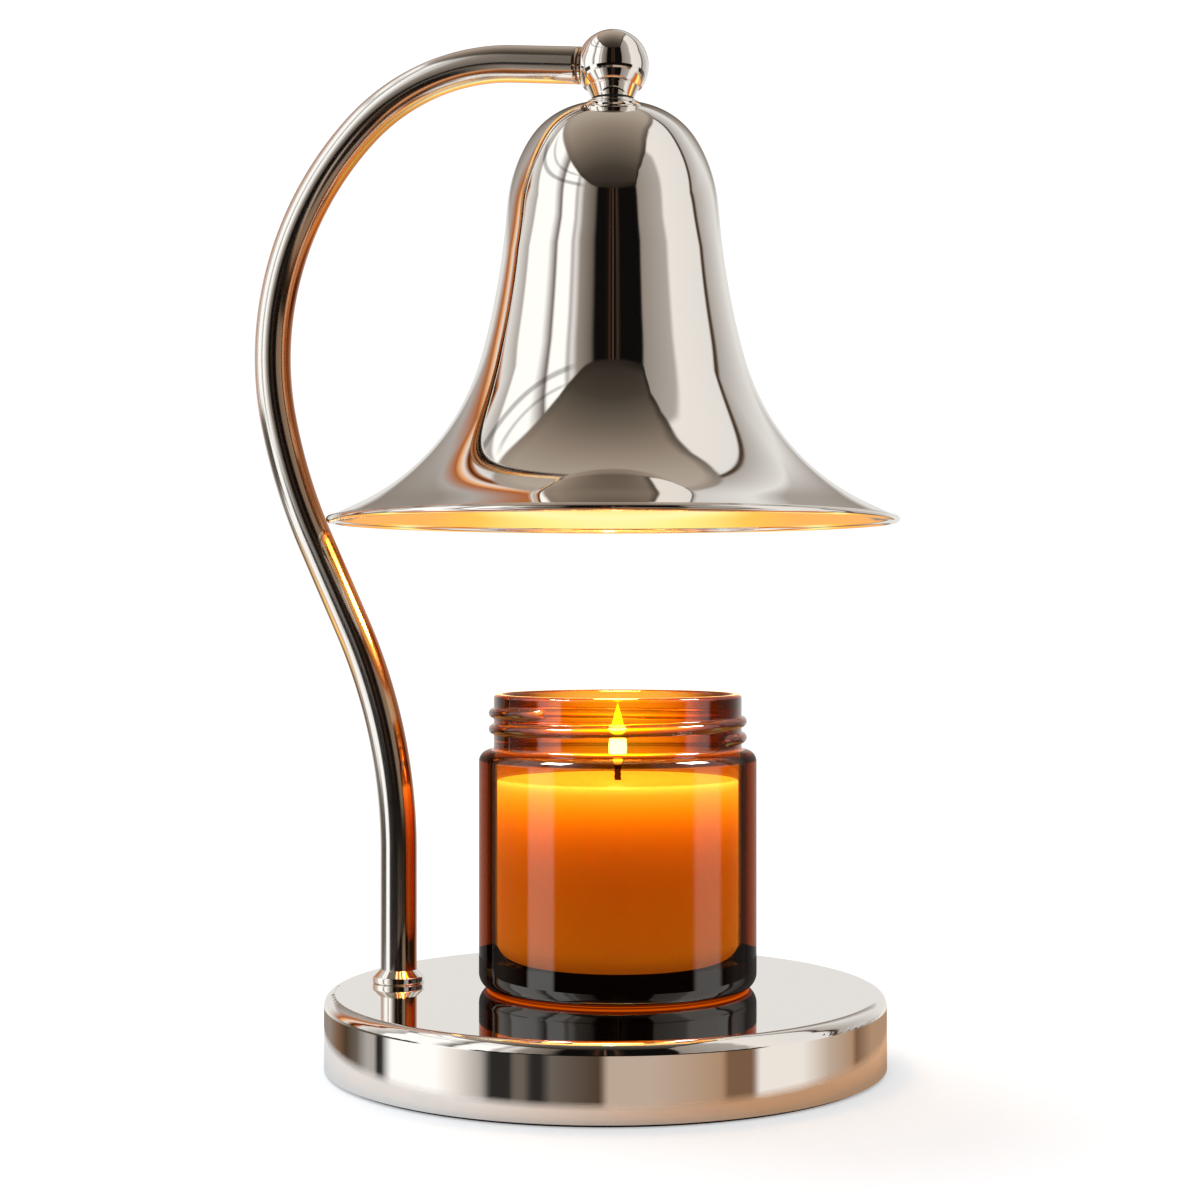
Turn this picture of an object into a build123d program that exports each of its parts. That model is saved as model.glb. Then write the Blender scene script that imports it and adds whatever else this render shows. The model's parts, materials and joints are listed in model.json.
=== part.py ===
"""Candle warmer lamp: weighted disc base, swan-neck arm, tilting bell shade and a candle jar.

Millimetres, +Z up. The origin is the centre of the base's underside, on the table. The arm
lies in the XZ plane on the -X side, and the shade hangs over the middle of the base.
Bends are given as a radius and a turn in degrees.
"""
from build123d import *
import math
import os

# --- fits that several pieces share, all radial or face to face ---
TAPPED_FIT = 0.02         # a screw or a plug in its hole
CLEAR_HOLE = 0.1          # a screw, nipple or journal that passes through
THRUST_GAP = 0.05         # between faces that turn or slide on each other
OVER = 1.0                # how far a cutter runs past a face

# --- base: a spun cup over an iron weight, closed by a plate and a pad ---
BASE_D = 150.0
BASE_H = 20.0
SHELL_T = 1.2
SHELL_EDGE_R = 3.0        # rounded edge round the top
SHELL_LIFT = 0.8          # shadow gap between the cup's lip and the table
PAD_T = 2.0
PLATE_T = 2.0
FIT_GAP = 0.4             # pad, plate and weight inside the cup
BASE_SCREWS = 3
BASE_SCREW_R = 1.5
BASE_SCREW_INSET = 11.4   # from the weight's side
BASE_SCREW_LENGTH = 9.0
BASE_SCREW_ROOM = 1.5     # blind hole left beyond the screw
SOCKET_AF = 2.0
SOCKET_DEPTH = 1.2

# --- cord inlet at the back of the base ---
INLET_BORE_R = 3.1
INLET_WALL = 0.9
INLET_FLANGE_LIP = 1.2    # flange beyond the thread
INLET_FLANGE_T = 1.4
INLET_NUT_AF = 10.0
INLET_NUT_T = 3.2
INLET_REACH = 9.0         # how far the bushing reaches inside the wall
INLET_ROOM = 1.0          # iron cut away beyond the nut

# --- arm: one tube, bent in a plane ---
ARM_D = 10.0
ARM_WALL = 1.0
STEM_INSET = 17.35        # the stem's axis from the base's side
ARM_END_DROP = 4.0        # the tube meets the ball pointing this far below level, degrees
LOWER_BEND_R = 149.5      # leans out from the base
LOWER_TURN = 24.3
LEAN_RUN = 25.8           # straight between the lower and the return bend
RETURN_BEND_R = 152.0     # brings the tube back upright
RETURN_TURN = 13.3
SIDE_BEND_R = 88.5        # over the widest point
SIDE_TURN = 55.3
CROWN_BEND_R = 55.0       # over the top and down to the ball

# --- stem fittings where the arm meets the base ---
COLLAR_LIP = 2.2          # collar beyond the tube
COLLAR_BAND_H = 2.0
COLLAR_H = 3.6
COLLAR_EDGE_R = 0.5
COLLAR_EDGE_TURN = 50.0   # the band's upper edge turns this far into the cone
COLLAR_LAND = 0.25        # flat left round the tube at the top
STEM_FIT = 0.05           # nipple in the tube
STEM_WALL = 1.15
STEM_INSERT = 16.0        # nipple inside the tube
STEM_WASHER_R = 8.5
STEM_WASHER_T = 1.2
STEM_NUT_AF = 13.0
STEM_NUT_T = 4.5
STEM_TAIL = 0.9           # thread left showing below the nut
STEM_ROOF_T = 2.3         # iron left above the washer
STEM_NUT_ROOM = 2.5       # round the washer, for a socket spanner

# --- wiring ---
LEAD_R = 1.5
LEAD_BEND_R = 4.0
LEAD_GAP = 0.3            # between a lead and what it stops short of
LEAD_HOLE = 0.4           # room round a lead in a bore
CHANNEL_W = 10.0          # channel in the weight, from the stem to the terminals
BLOCK_L = 22.0
BLOCK_W = 16.0
BLOCK_H = 8.6
BLOCK_LIFT = 0.3          # terminal block above the plate
BLOCK_EDGE_R = 1.0
BLOCK_ROOM_Y = 5.0        # between the block and the pocket's side
BLOCK_ROOM_Z = 1.1        # between the block and the pocket's roof
TERMINAL_TUBE_R = 2.4
TERMINAL_BORE_R = 1.6
TERMINAL_INSET = 1.0      # tubes end this far inside the block
TERMINAL_PITCH = 8.0
TERMINAL_SCREW_R = 1.2
TERMINAL_SCREW_OUT = 1.2  # below its tube
TERMINAL_SCREW_TIP = 0.8  # short of the tube's axis
TERMINAL_SCREW_ROOM = 0.3
TERMINAL_SLOT_W = 0.5
TERMINAL_SLOT_DEPTH = 0.6
EARTH_SCREW_R = 2.0
EARTH_SCREW_L = 3.5       # shank above the pocket's roof
EARTH_HEAD_R = 3.4
EARTH_HEAD_H = 1.8
EARTH_SLOT_W = 0.8
EARTH_SLOT_DEPTH = 0.8
EARTH_TAG_R = 4.2
EARTH_TAG_T = 0.8
EARTH_GAP = 0.2           # between the tag and the pocket's side, and the screw and the block

# --- ball joint at the arm's end ---
LAMP_H = 277.3            # table to the top of the ball
BALL_X = 2.0              # the head hangs on this axis
BALL_R = 9.7
BALL_FLAT_GAP = 0.1       # washer to the flat on the ball
JOURNAL_INSET = 0.6       # journal inside the tube's bore
JOURNAL_FIT = 0.05        # radial running clearance
JOURNAL_END = 2.8         # stops this far short of the ball's centre
JOURNAL_END_GAP = 0.3
SPIGOT_INSERT = 12.0
STOP_GROOVE_DEPTH = 0.8
STOP_ROOM = 0.4           # each side of the stop screw along the groove
STOP_EASE = 0.2           # and round it, at the groove's ends
STOP_AT = 5.0             # distance of the stop screw from the ball's centre
STOP_SCREW_R = 1.2
STOP_TIP_GAP = 0.35       # above the groove's floor
STOP_SUNK = 0.6           # below the ball's surface
STOP_SOCKET_R = 0.65
STOP_SOCKET_DEPTH = 1.5
TILT_MAX = 30.0           # each way, degrees
WAVE_WASHER_INSET = 0.4   # inside the tube's outline
WAVE_WASHER_T = 0.55
NECK_DROP = 5.7           # the neck starts this far below the ball's centre
NECK_H = 3.0
NECK_TOP_R = 7.1
NECK_BOTTOM_R = 5.7
CAVITY_R = 2.8
ELBOW_GAP = 0.4           # between the leads at the ball's centre

# --- threaded nipple that carries the head ---
NIPPLE_R = 4.0
NIPPLE_WALL = 1.4
NIPPLE_INSERT = 1.5       # above the neck
SWIVEL_FIT = 0.08         # radial clearance of the parts that turn on the nipple
LOOSE_HOLE = 0.35         # radial clearance where the nipple only passes through
GAP_WASHER_INSET = 0.1    # inside the neck's end
GAP_WASHER_T = 0.6
FRICTION_WASHER_R = 7.5
FRICTION_WASHER_T = 0.85
NIPPLE_NUT_AF = 12.0
NIPPLE_NUT_T = 3.5
NIPPLE_TAIL = 0.8         # thread left showing below the nut

# --- bell shade: its outer outline is a flat seat and a chain of tangent bends ---
SHADE_T = 0.8
SEAT_R = 7.8
KNUCKLE_R = 10.0
KNUCKLE_TURN = 14.7
SHOULDER_R = 20.6
SHOULDER_TURN = 43.7
WAIST_R = 39.5
WAIST_TURN = 27.5
FLANK_R = 208.0
FLANK_TURN = 10.9
THROAT_R = 71.2
THROAT_TURN = 8.0
FLARE_R = 60.8
LIP_SLOPE = 25.0          # the skirt ends this steep, degrees below level
RIM_R = 76.4
BEAD_R = 0.9              # rolled edge
BEAD_DROP = 0.75          # its centre below the skirt's end, as a share of its radius
FLANGE_INSET = 0.3        # flange inside the seat
FLANGE_TOP_R = 6.1
FLANGE_H = 1.55
FLANGE_RIM_H = 0.5
FLANGE_SWELL = 0.2        # how far its side bows out

# --- lampholder on its bracket inside the shade ---
BRACKET_T = 1.5
BRACKET_W = 12.0
BRACKET_BOSS_H = 0.5      # pressed boss that meets the shade's seat
BRACKET_BOSS_INSET = 0.2
BRACKET_TIE = 16.4        # flat part of the strap, between its legs
LEG_START = 0.2           # the legs start this far inside the tie
LEG_DROP = 4.4            # slope down this far to the lampholder's side
LEG_OVERLAP = 9.0         # and reach this far down it
HOLDER_R = 13.5
HOLDER_H = 14.4
HOLDER_DROP = 1.3         # below the nipple
HOLDER_EDGE = 0.8
HOLDER_SCREW_R = 1.4
HOLDER_SCREW_L = 6.0
HOLDER_SCREW_DROP = 5.0   # below the lampholder's top
HOLDER_SCREW_ROOM = 0.5
HOLDER_HEAD_R = 2.4
HOLDER_HEAD_H = 1.5
HOLDER_SLOT_W = 0.7
HOLDER_SLOT_DEPTH = 0.7
HOLDER_LEAD_DEPTH = 5.0
PIN_SPACING = 10.0
PIN_NECK_R = 1.5
PIN_HEAD_R = 2.5
PIN_HEAD_L = 3.2
PIN_EDGE = 0.5
PIN_CLEARANCE = 0.35
PIN_END_GAP = 0.2         # above and below a pin's head
SLOT_PLATE_T = 2.8
BULB_TWIST = 20.0         # from locked to free, degrees
CONTACT_W = 5.0
CONTACT_T = 0.5

# --- halogen reflector bulb ---
BULB_R = 25.0
BULB_L = 46.5             # pin shoulder to front
BULB_GAP = 0.1            # below the lampholder's face
BULB_BASE_R = 11.0
BULB_BASE_L = 12.0
BULB_BASE_EDGE_R = 1.2
BULB_COLLAR_L = 3.0
BULB_RIM_L = 7.0
BULB_SWELL = 3.0          # bowl beyond a straight cone
BULB_GLASS_T = 1.2
BULB_LENS_T = 1.4
BULB_LENS_INSET = 0.3
CAPSULE_R = 4.5
CAPSULE_L = 17.0
CAPSULE_WALL = 0.9
CAPSULE_SEAL_L = 3.0      # solid pinch at its foot
FILAMENT_R = 0.8
FILAMENT_L = 6.0
FILAMENT_DROP = 5.0       # coil's axis below the seal
FILAMENT_WIRE_R = 0.25
FILAMENT_WIRE_INSET = 0.4

# --- candle jar ---
JAR_X = 2.4
JAR_Y = 5.0
JAR_R = 37.5
JAR_H = 79.0
JAR_WALL = 4.8
JAR_FLOOR = 7.5
JAR_FOOT_R = 4.0          # bottom corner
JAR_INNER_FOOT_R = 5.0
PUNT_R = 29.0
PUNT_H = 0.8
PUNT_SLOPE_W = 1.5
JAR_STEP_IN = 4.0         # neck inside the body
NECK_WALL = 2.5
NECK_L = 14.0
JAR_SHOULDER_TURN = 80.0
JAR_SHOULDER_R = 3.0
JAR_SHOULDER_ROOT_R = 1.0
JAR_FLARE_R = 2.0         # inside, from the bore out to the wall
LIP_R = 0.9
THREAD_H = 1.4
THREAD_PITCH = 4.3
THREAD_TURNS = 1.75
THREAD_W = 2.6
THREAD_SINK = 0.5         # root of the thread inside the neck
THREAD_END = 4.5          # upper end, below the lip
THREAD_END_AT = -113.0    # and its direction from the jar's axis, degrees from +X
WAX_GAP = 0.1
WAX_DROP = 23.3           # wax below the jar's lip
WICK_R = 1.0
WICK_ABOVE_WAX = 4.0
WICK_TIP_R = 0.5
TAB_R = 10.0
TAB_T = 0.4

# --- what follows from these: the base and its wiring ---
BASE_R = BASE_D / 2
SHELL_IN_R = BASE_R - SHELL_T
SHELL_ROOF = BASE_H - SHELL_T
CORE_R = SHELL_IN_R - FIT_GAP
PLATE_TOP = PAD_T + PLATE_T
INLET_Z = (PAD_T + BASE_H - SHELL_EDGE_R) / 2        # middle of the wall's straight part
INLET_THREAD_R = INLET_BORE_R + INLET_WALL
TERMINAL_Z = PLATE_TOP + BLOCK_LIFT + BLOCK_H / 2
POCKET_ROOF = PLATE_TOP + BLOCK_LIFT + BLOCK_H + BLOCK_ROOM_Z
POCKET_W = BLOCK_W + 2 * BLOCK_ROOM_Y
EARTH_X = BLOCK_L / 2 + EARTH_GAP + EARTH_HEAD_R
EARTH_Y = POCKET_W / 2 - EARTH_GAP - EARTH_TAG_R
POCKET_L = 2 * (EARTH_X + EARTH_TAG_R + EARTH_GAP)

# --- the arm and its foot ---
ARM_R = ARM_D / 2
ARM_BORE_R = ARM_R - ARM_WALL
STEM_X = STEM_INSET - BASE_R
STEM_THREAD_R = ARM_BORE_R - STEM_FIT
STEM_POCKET_ROOF = SHELL_ROOF - STEM_ROOF_T
STEM_NUT_TOP = STEM_POCKET_ROOF - STEM_WASHER_T
STEM_BOTTOM = STEM_NUT_TOP - STEM_NUT_T - STEM_TAIL
LEAD_Z = STEM_BOTTOM - LEAD_BEND_R
CROWN_TURN = 90 + ARM_END_DROP + LOWER_TURN - RETURN_TURN - SIDE_TURN

# --- the ball and what hangs from it ---
BALL_Z = LAMP_H - BALL_R
BALL_FLAT = math.sqrt(BALL_R**2 - ARM_R**2)          # flat on the ball, as wide as the tube
WASHER_START = BALL_FLAT + BALL_FLAT_GAP
TUBE_END = WASHER_START + WAVE_WASHER_T + THRUST_GAP  # the tube stops this far from the centre
SPIGOT_BORE_R = LEAD_R + LEAD_HOLE
JOURNAL_R = ARM_BORE_R - JOURNAL_INSET
STOP_GROOVE_R = JOURNAL_R - STOP_GROOVE_DEPTH
STOP_GROOVE_HALF = STOP_SCREW_R + STOP_ROOM
ELBOW_R = JOURNAL_END - ELBOW_GAP
NECK_TOP_Z = BALL_Z - NECK_DROP
NECK_BOTTOM_Z = NECK_TOP_Z - NECK_H
NIPPLE_TOP_Z = NECK_TOP_Z + NIPPLE_INSERT
FLANGE_TOP_Z = NECK_BOTTOM_Z - GAP_WASHER_T - THRUST_GAP
SHADE_TOP_Z = FLANGE_TOP_Z - FLANGE_H
SHADE_IN_Z = SHADE_TOP_Z - SHADE_T
BRACKET_TOP = SHADE_IN_Z - BRACKET_BOSS_H
BRACKET_Z = BRACKET_TOP - BRACKET_T
FRICTION_TOP = BRACKET_Z - THRUST_GAP
NUT_TOP = FRICTION_TOP - FRICTION_WASHER_T
NIPPLE_BOTTOM_Z = NUT_TOP - NIPPLE_NUT_T - NIPPLE_TAIL
HOLDER_TOP_Z = NIPPLE_BOTTOM_Z - HOLDER_DROP
HOLDER_FACE_Z = HOLDER_TOP_Z - HOLDER_H
HOLDER_SIDE = HOLDER_R + BRACKET_T
HOLDER_SCREW_Z = HOLDER_TOP_Z - HOLDER_SCREW_DROP
SLOT_PLATE_TOP = HOLDER_FACE_Z + SLOT_PLATE_T
CHAMBER_TOP = SLOT_PLATE_TOP + PIN_HEAD_L + 2 * PIN_END_GAP
BULB_TOP_Z = HOLDER_FACE_Z - BULB_GAP
BULB_FRONT_Z = BULB_TOP_Z - BULB_L
BULB_STEP_Z = BULB_TOP_Z - BULB_BASE_L
PIN_HEAD_Z = SLOT_PLATE_TOP + PIN_END_GAP

# --- the jar ---
JAR_Z = BASE_H + THRUST_GAP
JAR_BORE_R = JAR_R - JAR_WALL
JAR_FLOOR_Z = JAR_Z + JAR_FLOOR
NECK_R = JAR_R - JAR_STEP_IN
NECK_BORE_R = NECK_R - NECK_WALL
WAX_TOP_Z = JAR_Z + JAR_H - WAX_DROP

UP = (Align.CENTER, Align.CENTER, Align.MIN)
DOWN = (Align.CENTER, Align.CENTER, Align.MAX)
WEDGE = (Align.NONE, Align.NONE, Align.MIN)


def disc(radius, low, high, x=0.0, y=0.0):
    """Round bar along Z between two heights."""
    return Pos(x, y, low) * Cylinder(radius, high - low, align=UP)


def ring(outer, inner, low, high, x=0.0, y=0.0):
    """Washer or sleeve along Z between two heights."""
    return disc(outer, low, high, x, y) - disc(inner, low - OVER, high + OVER, x, y)


def cone(low_radius, high_radius, low, high, x=0.0, y=0.0):
    """Cone along Z between two heights."""
    return Pos(x, y, low) * Cone(low_radius, high_radius, high - low, align=UP)


def hexagon(across_flats, low, high, x=0.0, y=0.0):
    """Hexagonal bar along Z, with flats facing +X and -X."""
    outline = RegularPolygon(across_flats / 2, 6, major_radius=False, rotation=30)
    return Pos(x, y, low) * extrude(outline, high - low)


def trace(start, heading, runs):
    """Tangent chain in the XZ plane: (length,) is a straight run, (radius, turn) a bend.

    Headings and turns are degrees from +X towards +Z. Returns edges, end point and heading.
    """
    x, z = start
    edges = []
    for run in runs:
        angle = math.radians(heading)
        if len(run) == 1:
            end = (x + run[0] * math.cos(angle), z + run[0] * math.sin(angle))
            edges.append(Line((x, 0, z), (end[0], 0, end[1])))
            x, z = end
            continue
        radius, turn = run
        side = math.copysign(radius, turn)
        centre = (x - side * math.sin(angle), z + side * math.cos(angle))
        points = []
        for part in (0.0, 0.5, 1.0):
            at = angle + math.radians(turn) * part
            points.append((centre[0] + side * math.sin(at), 0, centre[1] - side * math.cos(at)))
        edges.append(ThreePointArc(*points))
        x, z = points[2][0], points[2][2]
        heading += turn
    return edges, (x, z), heading


def turned(edges, x=0.0, y=0.0):
    """Solid of revolution about Z from a closed outline in the XZ plane."""
    return Pos(x, y, 0) * revolve(make_face(Wire(edges)), Axis.Z)


def straight(*points):
    """Straight edges through points given as (radius, height)."""
    return [Line((a[0], 0, a[1]), (b[0], 0, b[1])) for a, b in zip(points, points[1:])]


def bowed(start, end, swell):
    """Shallow arc between two (radius, height) points, bowed outwards by swell at its middle."""
    across, rise = end[0] - start[0], end[1] - start[1]
    chord = math.hypot(across, rise)
    side = -math.copysign(swell, rise)
    middle = ((start[0] + end[0]) / 2 - side * rise / chord,
              (start[1] + end[1]) / 2 + side * across / chord)
    return ThreePointArc((start[0], 0, start[1]), (middle[0], 0, middle[1]), (end[0], 0, end[1]))


def as_solid(shape):
    """The single solid of a one-piece result."""
    return shape.solids()[0] if len(shape.solids()) == 1 else shape


# --- base ---

def base_shell():
    """Spun steel cup: flat top, rounded edge and a straight wall."""
    outer = disc(BASE_R, SHELL_LIFT, BASE_H)
    outer = fillet(outer.edges().sort_by(Axis.Z)[-1], SHELL_EDGE_R)
    inner = disc(SHELL_IN_R, SHELL_LIFT - OVER, SHELL_ROOF)
    inner = fillet(inner.edges().sort_by(Axis.Z)[-1], SHELL_EDGE_R - SHELL_T)
    stem_hole = disc(STEM_THREAD_R + CLEAR_HOLE, SHELL_ROOF - OVER, BASE_H + OVER, STEM_X)
    inlet_hole = along_back(INLET_THREAD_R + CLEAR_HOLE, BASE_R - INLET_REACH, BASE_R + OVER)
    return outer - inner - stem_hole - inlet_hole


def base_weight():
    """Cast disc that keeps the lamp upright, with a wiring pocket open underneath."""
    body = disc(CORE_R, PLATE_TOP, SHELL_ROOF)
    body = chamfer(body.edges().sort_by(Axis.Z)[-1], SHELL_EDGE_R - SHELL_T)
    floor = PLATE_TOP - OVER
    body -= disc(STEM_WASHER_R + STEM_NUT_ROOM, floor, STEM_POCKET_ROOF, STEM_X)
    body -= disc(STEM_THREAD_R + CLEAR_HOLE, floor, SHELL_ROOF + OVER, STEM_X)
    body -= Pos(0, 0, floor) * Box(POCKET_L, POCKET_W, POCKET_ROOF - floor, align=UP)
    body -= Pos(STEM_X / 2, 0, floor) * Box(-STEM_X, CHANNEL_W, POCKET_ROOF - floor, align=UP)
    inlet_roof = INLET_Z + INLET_NUT_AF / 2 + INLET_ROOM
    body -= Pos(0, BASE_R / 2, floor) * Box(
        2 * INLET_NUT_AF, BASE_R, inlet_roof - floor, align=UP)
    screw_hole_top = PAD_T + BASE_SCREW_LENGTH + BASE_SCREW_ROOM
    for x, y in screw_places():
        body -= disc(BASE_SCREW_R + TAPPED_FIT, floor, screw_hole_top, x, y)
    earth_top = POCKET_ROOF + EARTH_SCREW_L + LEAD_GAP
    return body - disc(EARTH_SCREW_R + TAPPED_FIT, POCKET_ROOF - OVER, earth_top, EARTH_X, EARTH_Y)


def bottom_plate():
    """Steel plate that closes the base, countersunk for its screws."""
    plate = disc(CORE_R, PAD_T, PLATE_TOP)
    for x, y in screw_places():
        plate -= disc(BASE_SCREW_R + CLEAR_HOLE, PAD_T - OVER, PLATE_TOP + OVER, x, y)
        plate -= cone(2 * BASE_SCREW_R, BASE_SCREW_R, PAD_T, PAD_T + BASE_SCREW_R, x, y)
    return plate


def base_pad():
    """Dark anti-slip pad; it lifts the cup's lip off the table."""
    return disc(CORE_R, 0, PAD_T)


def screw_places():
    """Centres of the bottom plate's screws."""
    step = 2 * math.pi / BASE_SCREWS
    reach = CORE_R - BASE_SCREW_INSET
    return [(reach * math.cos(step * i + step / 4),
             reach * math.sin(step * i + step / 4)) for i in range(BASE_SCREWS)]


def bottom_screw(x, y):
    """Countersunk screw, driven up into the weight."""
    head_top = PAD_T + BASE_SCREW_R - THRUST_GAP
    head = cone(2 * BASE_SCREW_R - THRUST_GAP, BASE_SCREW_R, PAD_T, head_top, x, y)
    shank = disc(BASE_SCREW_R, PAD_T, PAD_T + BASE_SCREW_LENGTH, x, y)
    return head + shank - hexagon(SOCKET_AF, PAD_T - OVER, PAD_T + SOCKET_DEPTH, x, y)


def along_back(radius, near, far):
    """Round bar along Y at the cord inlet, between two distances from the base's axis."""
    return Pos(0, near, INLET_Z) * Rot(-90, 0, 0) * Cylinder(radius, far - near, align=UP)


def cord_bushing():
    """Strain relief with a flange outside the wall and a thread inside it."""
    near, far = BASE_R - INLET_REACH, BASE_R + INLET_FLANGE_T
    body = along_back(INLET_THREAD_R, near, BASE_R)
    flange = along_back(INLET_THREAD_R + INLET_FLANGE_LIP, BASE_R, far)
    return body + flange - along_back(INLET_BORE_R, near - OVER, far + OVER)


def cord_bushing_nut():
    """Hexagon nut that clamps the bushing from inside."""
    outline = RegularPolygon(INLET_NUT_AF / 2, 6, major_radius=False)
    face = math.sqrt(SHELL_IN_R**2 - INLET_NUT_AF**2 / 3) - TAPPED_FIT
    nut = Pos(0, face - INLET_NUT_T, INLET_Z) * Rot(-90, 0, 0) * extrude(outline, INLET_NUT_T)
    return nut - along_back(INLET_THREAD_R, face - INLET_NUT_T - OVER, face + OVER)


# --- wiring in the base ---

def terminal_block():
    """Two-way block: a tube for each core, clamped by screws from below."""
    body = Pos(0, 0, PLATE_TOP + BLOCK_LIFT) * Box(BLOCK_L, BLOCK_W, BLOCK_H, align=UP)
    body = fillet(body.edges().filter_by(Axis.Z), BLOCK_EDGE_R)
    for side in (-1, 1):
        body -= along_x(TERMINAL_TUBE_R, side * TERMINAL_PITCH / 2, -BLOCK_L, BLOCK_L)
    for x, y in terminal_screw_places():
        hole_r = TERMINAL_SCREW_R + TERMINAL_SCREW_ROOM
        body -= disc(hole_r, PLATE_TOP - OVER, TERMINAL_Z, x, y)
    return body


def along_x(radius, y, x_low, x_high):
    """Round bar along X at the height of the terminals."""
    bar = Cylinder(radius, x_high - x_low, align=UP)
    return Pos(x_low, y, TERMINAL_Z) * Rot(0, 90, 0) * bar


def terminal_screw_places():
    """Centres of the clamp screws, two to a tube."""
    along = BLOCK_L / 4
    across = TERMINAL_PITCH / 2
    return [(x, y) for y in (-across, across) for x in (-along, along)]


def terminal_tube(y):
    """Brass tube of one terminal, tapped for its two screws."""
    half = BLOCK_L / 2 - TERMINAL_INSET
    tube = along_x(TERMINAL_TUBE_R, y, -half, half)
    tube -= along_x(TERMINAL_BORE_R, y, -half - OVER, half + OVER)
    for x, screw_y in terminal_screw_places():
        if screw_y == y:
            tube -= disc(TERMINAL_SCREW_R + TAPPED_FIT, PLATE_TOP - OVER, TERMINAL_Z, x, y)
    return tube


def terminal_screw(x, y):
    """Slotted clamp screw."""
    low = TERMINAL_Z - TERMINAL_TUBE_R - TERMINAL_SCREW_OUT
    high = TERMINAL_Z - TERMINAL_SCREW_TIP
    slot = Box(TERMINAL_SLOT_W, 3 * TERMINAL_SCREW_R, 2 * TERMINAL_SLOT_DEPTH)
    return disc(TERMINAL_SCREW_R, low, high, x, y) - Pos(x, y, low) * slot


def earth_tag():
    """Ring tag under the earth screw, against the pocket's roof."""
    low = POCKET_ROOF - EARTH_TAG_T
    return ring(EARTH_TAG_R, EARTH_SCREW_R + CLEAR_HOLE, low, POCKET_ROOF, EARTH_X, EARTH_Y)


def earth_screw():
    """Pan-head screw, driven up into the weight."""
    head_top = POCKET_ROOF - EARTH_TAG_T
    head_low = head_top - EARTH_HEAD_H
    head = disc(EARTH_HEAD_R, head_low, head_top, EARTH_X, EARTH_Y)
    shank = disc(EARTH_SCREW_R, head_top - THRUST_GAP, POCKET_ROOF + EARTH_SCREW_L, EARTH_X, EARTH_Y)
    slot = Box(EARTH_SLOT_W, 3 * EARTH_HEAD_R, 2 * EARTH_SLOT_DEPTH)
    return head + shank - Pos(EARTH_X, EARTH_Y, head_low) * slot


# --- stem ---

def stem_collar():
    """Turned collar round the foot of the arm: a band, a soft edge and a cone."""
    bore = ARM_R + TAPPED_FIT
    foot_r = ARM_R + COLLAR_LIP - COLLAR_EDGE_R
    top_z = BASE_H + COLLAR_H
    runs = [(COLLAR_EDGE_R, 90), (COLLAR_BAND_H - 2 * COLLAR_EDGE_R,),
            (COLLAR_EDGE_R, COLLAR_EDGE_TURN)]
    side, point, _ = trace((foot_r, BASE_H), 0, runs)
    close = straight(point, (ARM_R + COLLAR_LAND, top_z), (bore, top_z), (bore, BASE_H),
                     (foot_r, BASE_H))
    return turned(side + close, STEM_X)


def stem_nipple():
    """Threaded tube, fixed in the arm and clamped under the weight."""
    bore = STEM_THREAD_R - STEM_WALL
    return ring(STEM_THREAD_R, bore, STEM_BOTTOM, BASE_H + STEM_INSERT, STEM_X)


def stem_washer():
    """Steel washer against the roof of the stem pocket."""
    hole = STEM_THREAD_R + CLEAR_HOLE
    return ring(STEM_WASHER_R, hole, STEM_NUT_TOP, STEM_POCKET_ROOF, STEM_X)


def stem_nut():
    """Hexagon nut that holds the arm to the base."""
    low = STEM_NUT_TOP - STEM_NUT_T
    nut = hexagon(STEM_NUT_AF, low, STEM_NUT_TOP, STEM_X)
    return nut - disc(STEM_THREAD_R, low - OVER, STEM_NUT_TOP + OVER, STEM_X)


# --- arm ---

def arm_bends():
    """The arm's bends from the stem up, turning left when positive."""
    return [(LOWER_BEND_R, LOWER_TURN), (LEAN_RUN,), (RETURN_BEND_R, -RETURN_TURN),
            (SIDE_BEND_R, -SIDE_TURN), (CROWN_BEND_R, -CROWN_TURN)]


def arm_straights():
    """Lengths of the upright run and of the last run that bring the arm to the ball."""
    _, (x, z), _ = trace((STEM_X, BASE_H), 90, arm_bends())
    drop = math.radians(ARM_END_DROP)
    last = (BALL_X - x) / math.cos(drop)
    upright = BALL_Z - (z - last * math.sin(drop))
    return upright, last


def arm_runs(below, short_of_ball):
    """The arm's whole route, from below the base top to short of the ball's centre."""
    upright, last = arm_straights()
    return [(upright + below,)] + arm_bends() + [(last - short_of_ball,)]


def swept(radius, bore, start, heading, edges):
    """Round bar or tube along a route in the XZ plane."""
    angle = math.radians(heading)
    plane = Plane((start[0], 0, start[1]), x_dir=(0, 1, 0),
                  z_dir=(math.cos(angle), 0, math.sin(angle)))
    section = Circle(radius) - Circle(bore) if bore else Circle(radius)
    return sweep(plane * section, path=Wire(edges))


def arm_tube():
    """Polished tube from the base to the ball."""
    start = (STEM_X, BASE_H)
    edges, _, _ = trace(start, 90, arm_runs(0, TUBE_END))
    return swept(ARM_R, ARM_BORE_R, start, 90, edges)


def arm_lead():
    """Two-core lead from the terminal block up through the arm to the spigot's mouth."""
    start = (-BLOCK_L / 2 - LEAD_GAP, LEAD_Z)
    along = start[0] - STEM_X - LEAD_BEND_R
    below = BASE_H - LEAD_Z - LEAD_BEND_R
    runs = [(along,), (LEAD_BEND_R, -90)] + arm_runs(below, JOURNAL_END)
    edges, _, _ = trace(start, 180, runs)
    return swept(LEAD_R, 0, start, 180, edges)


def tilt_frame():
    """Plane at the ball's centre whose Z runs along the arm's end, out of the arm."""
    drop = math.radians(ARM_END_DROP)
    return Plane((BALL_X, 0, BALL_Z), x_dir=(0, 1, 0), z_dir=(math.cos(drop), 0, -math.sin(drop)))


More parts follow.
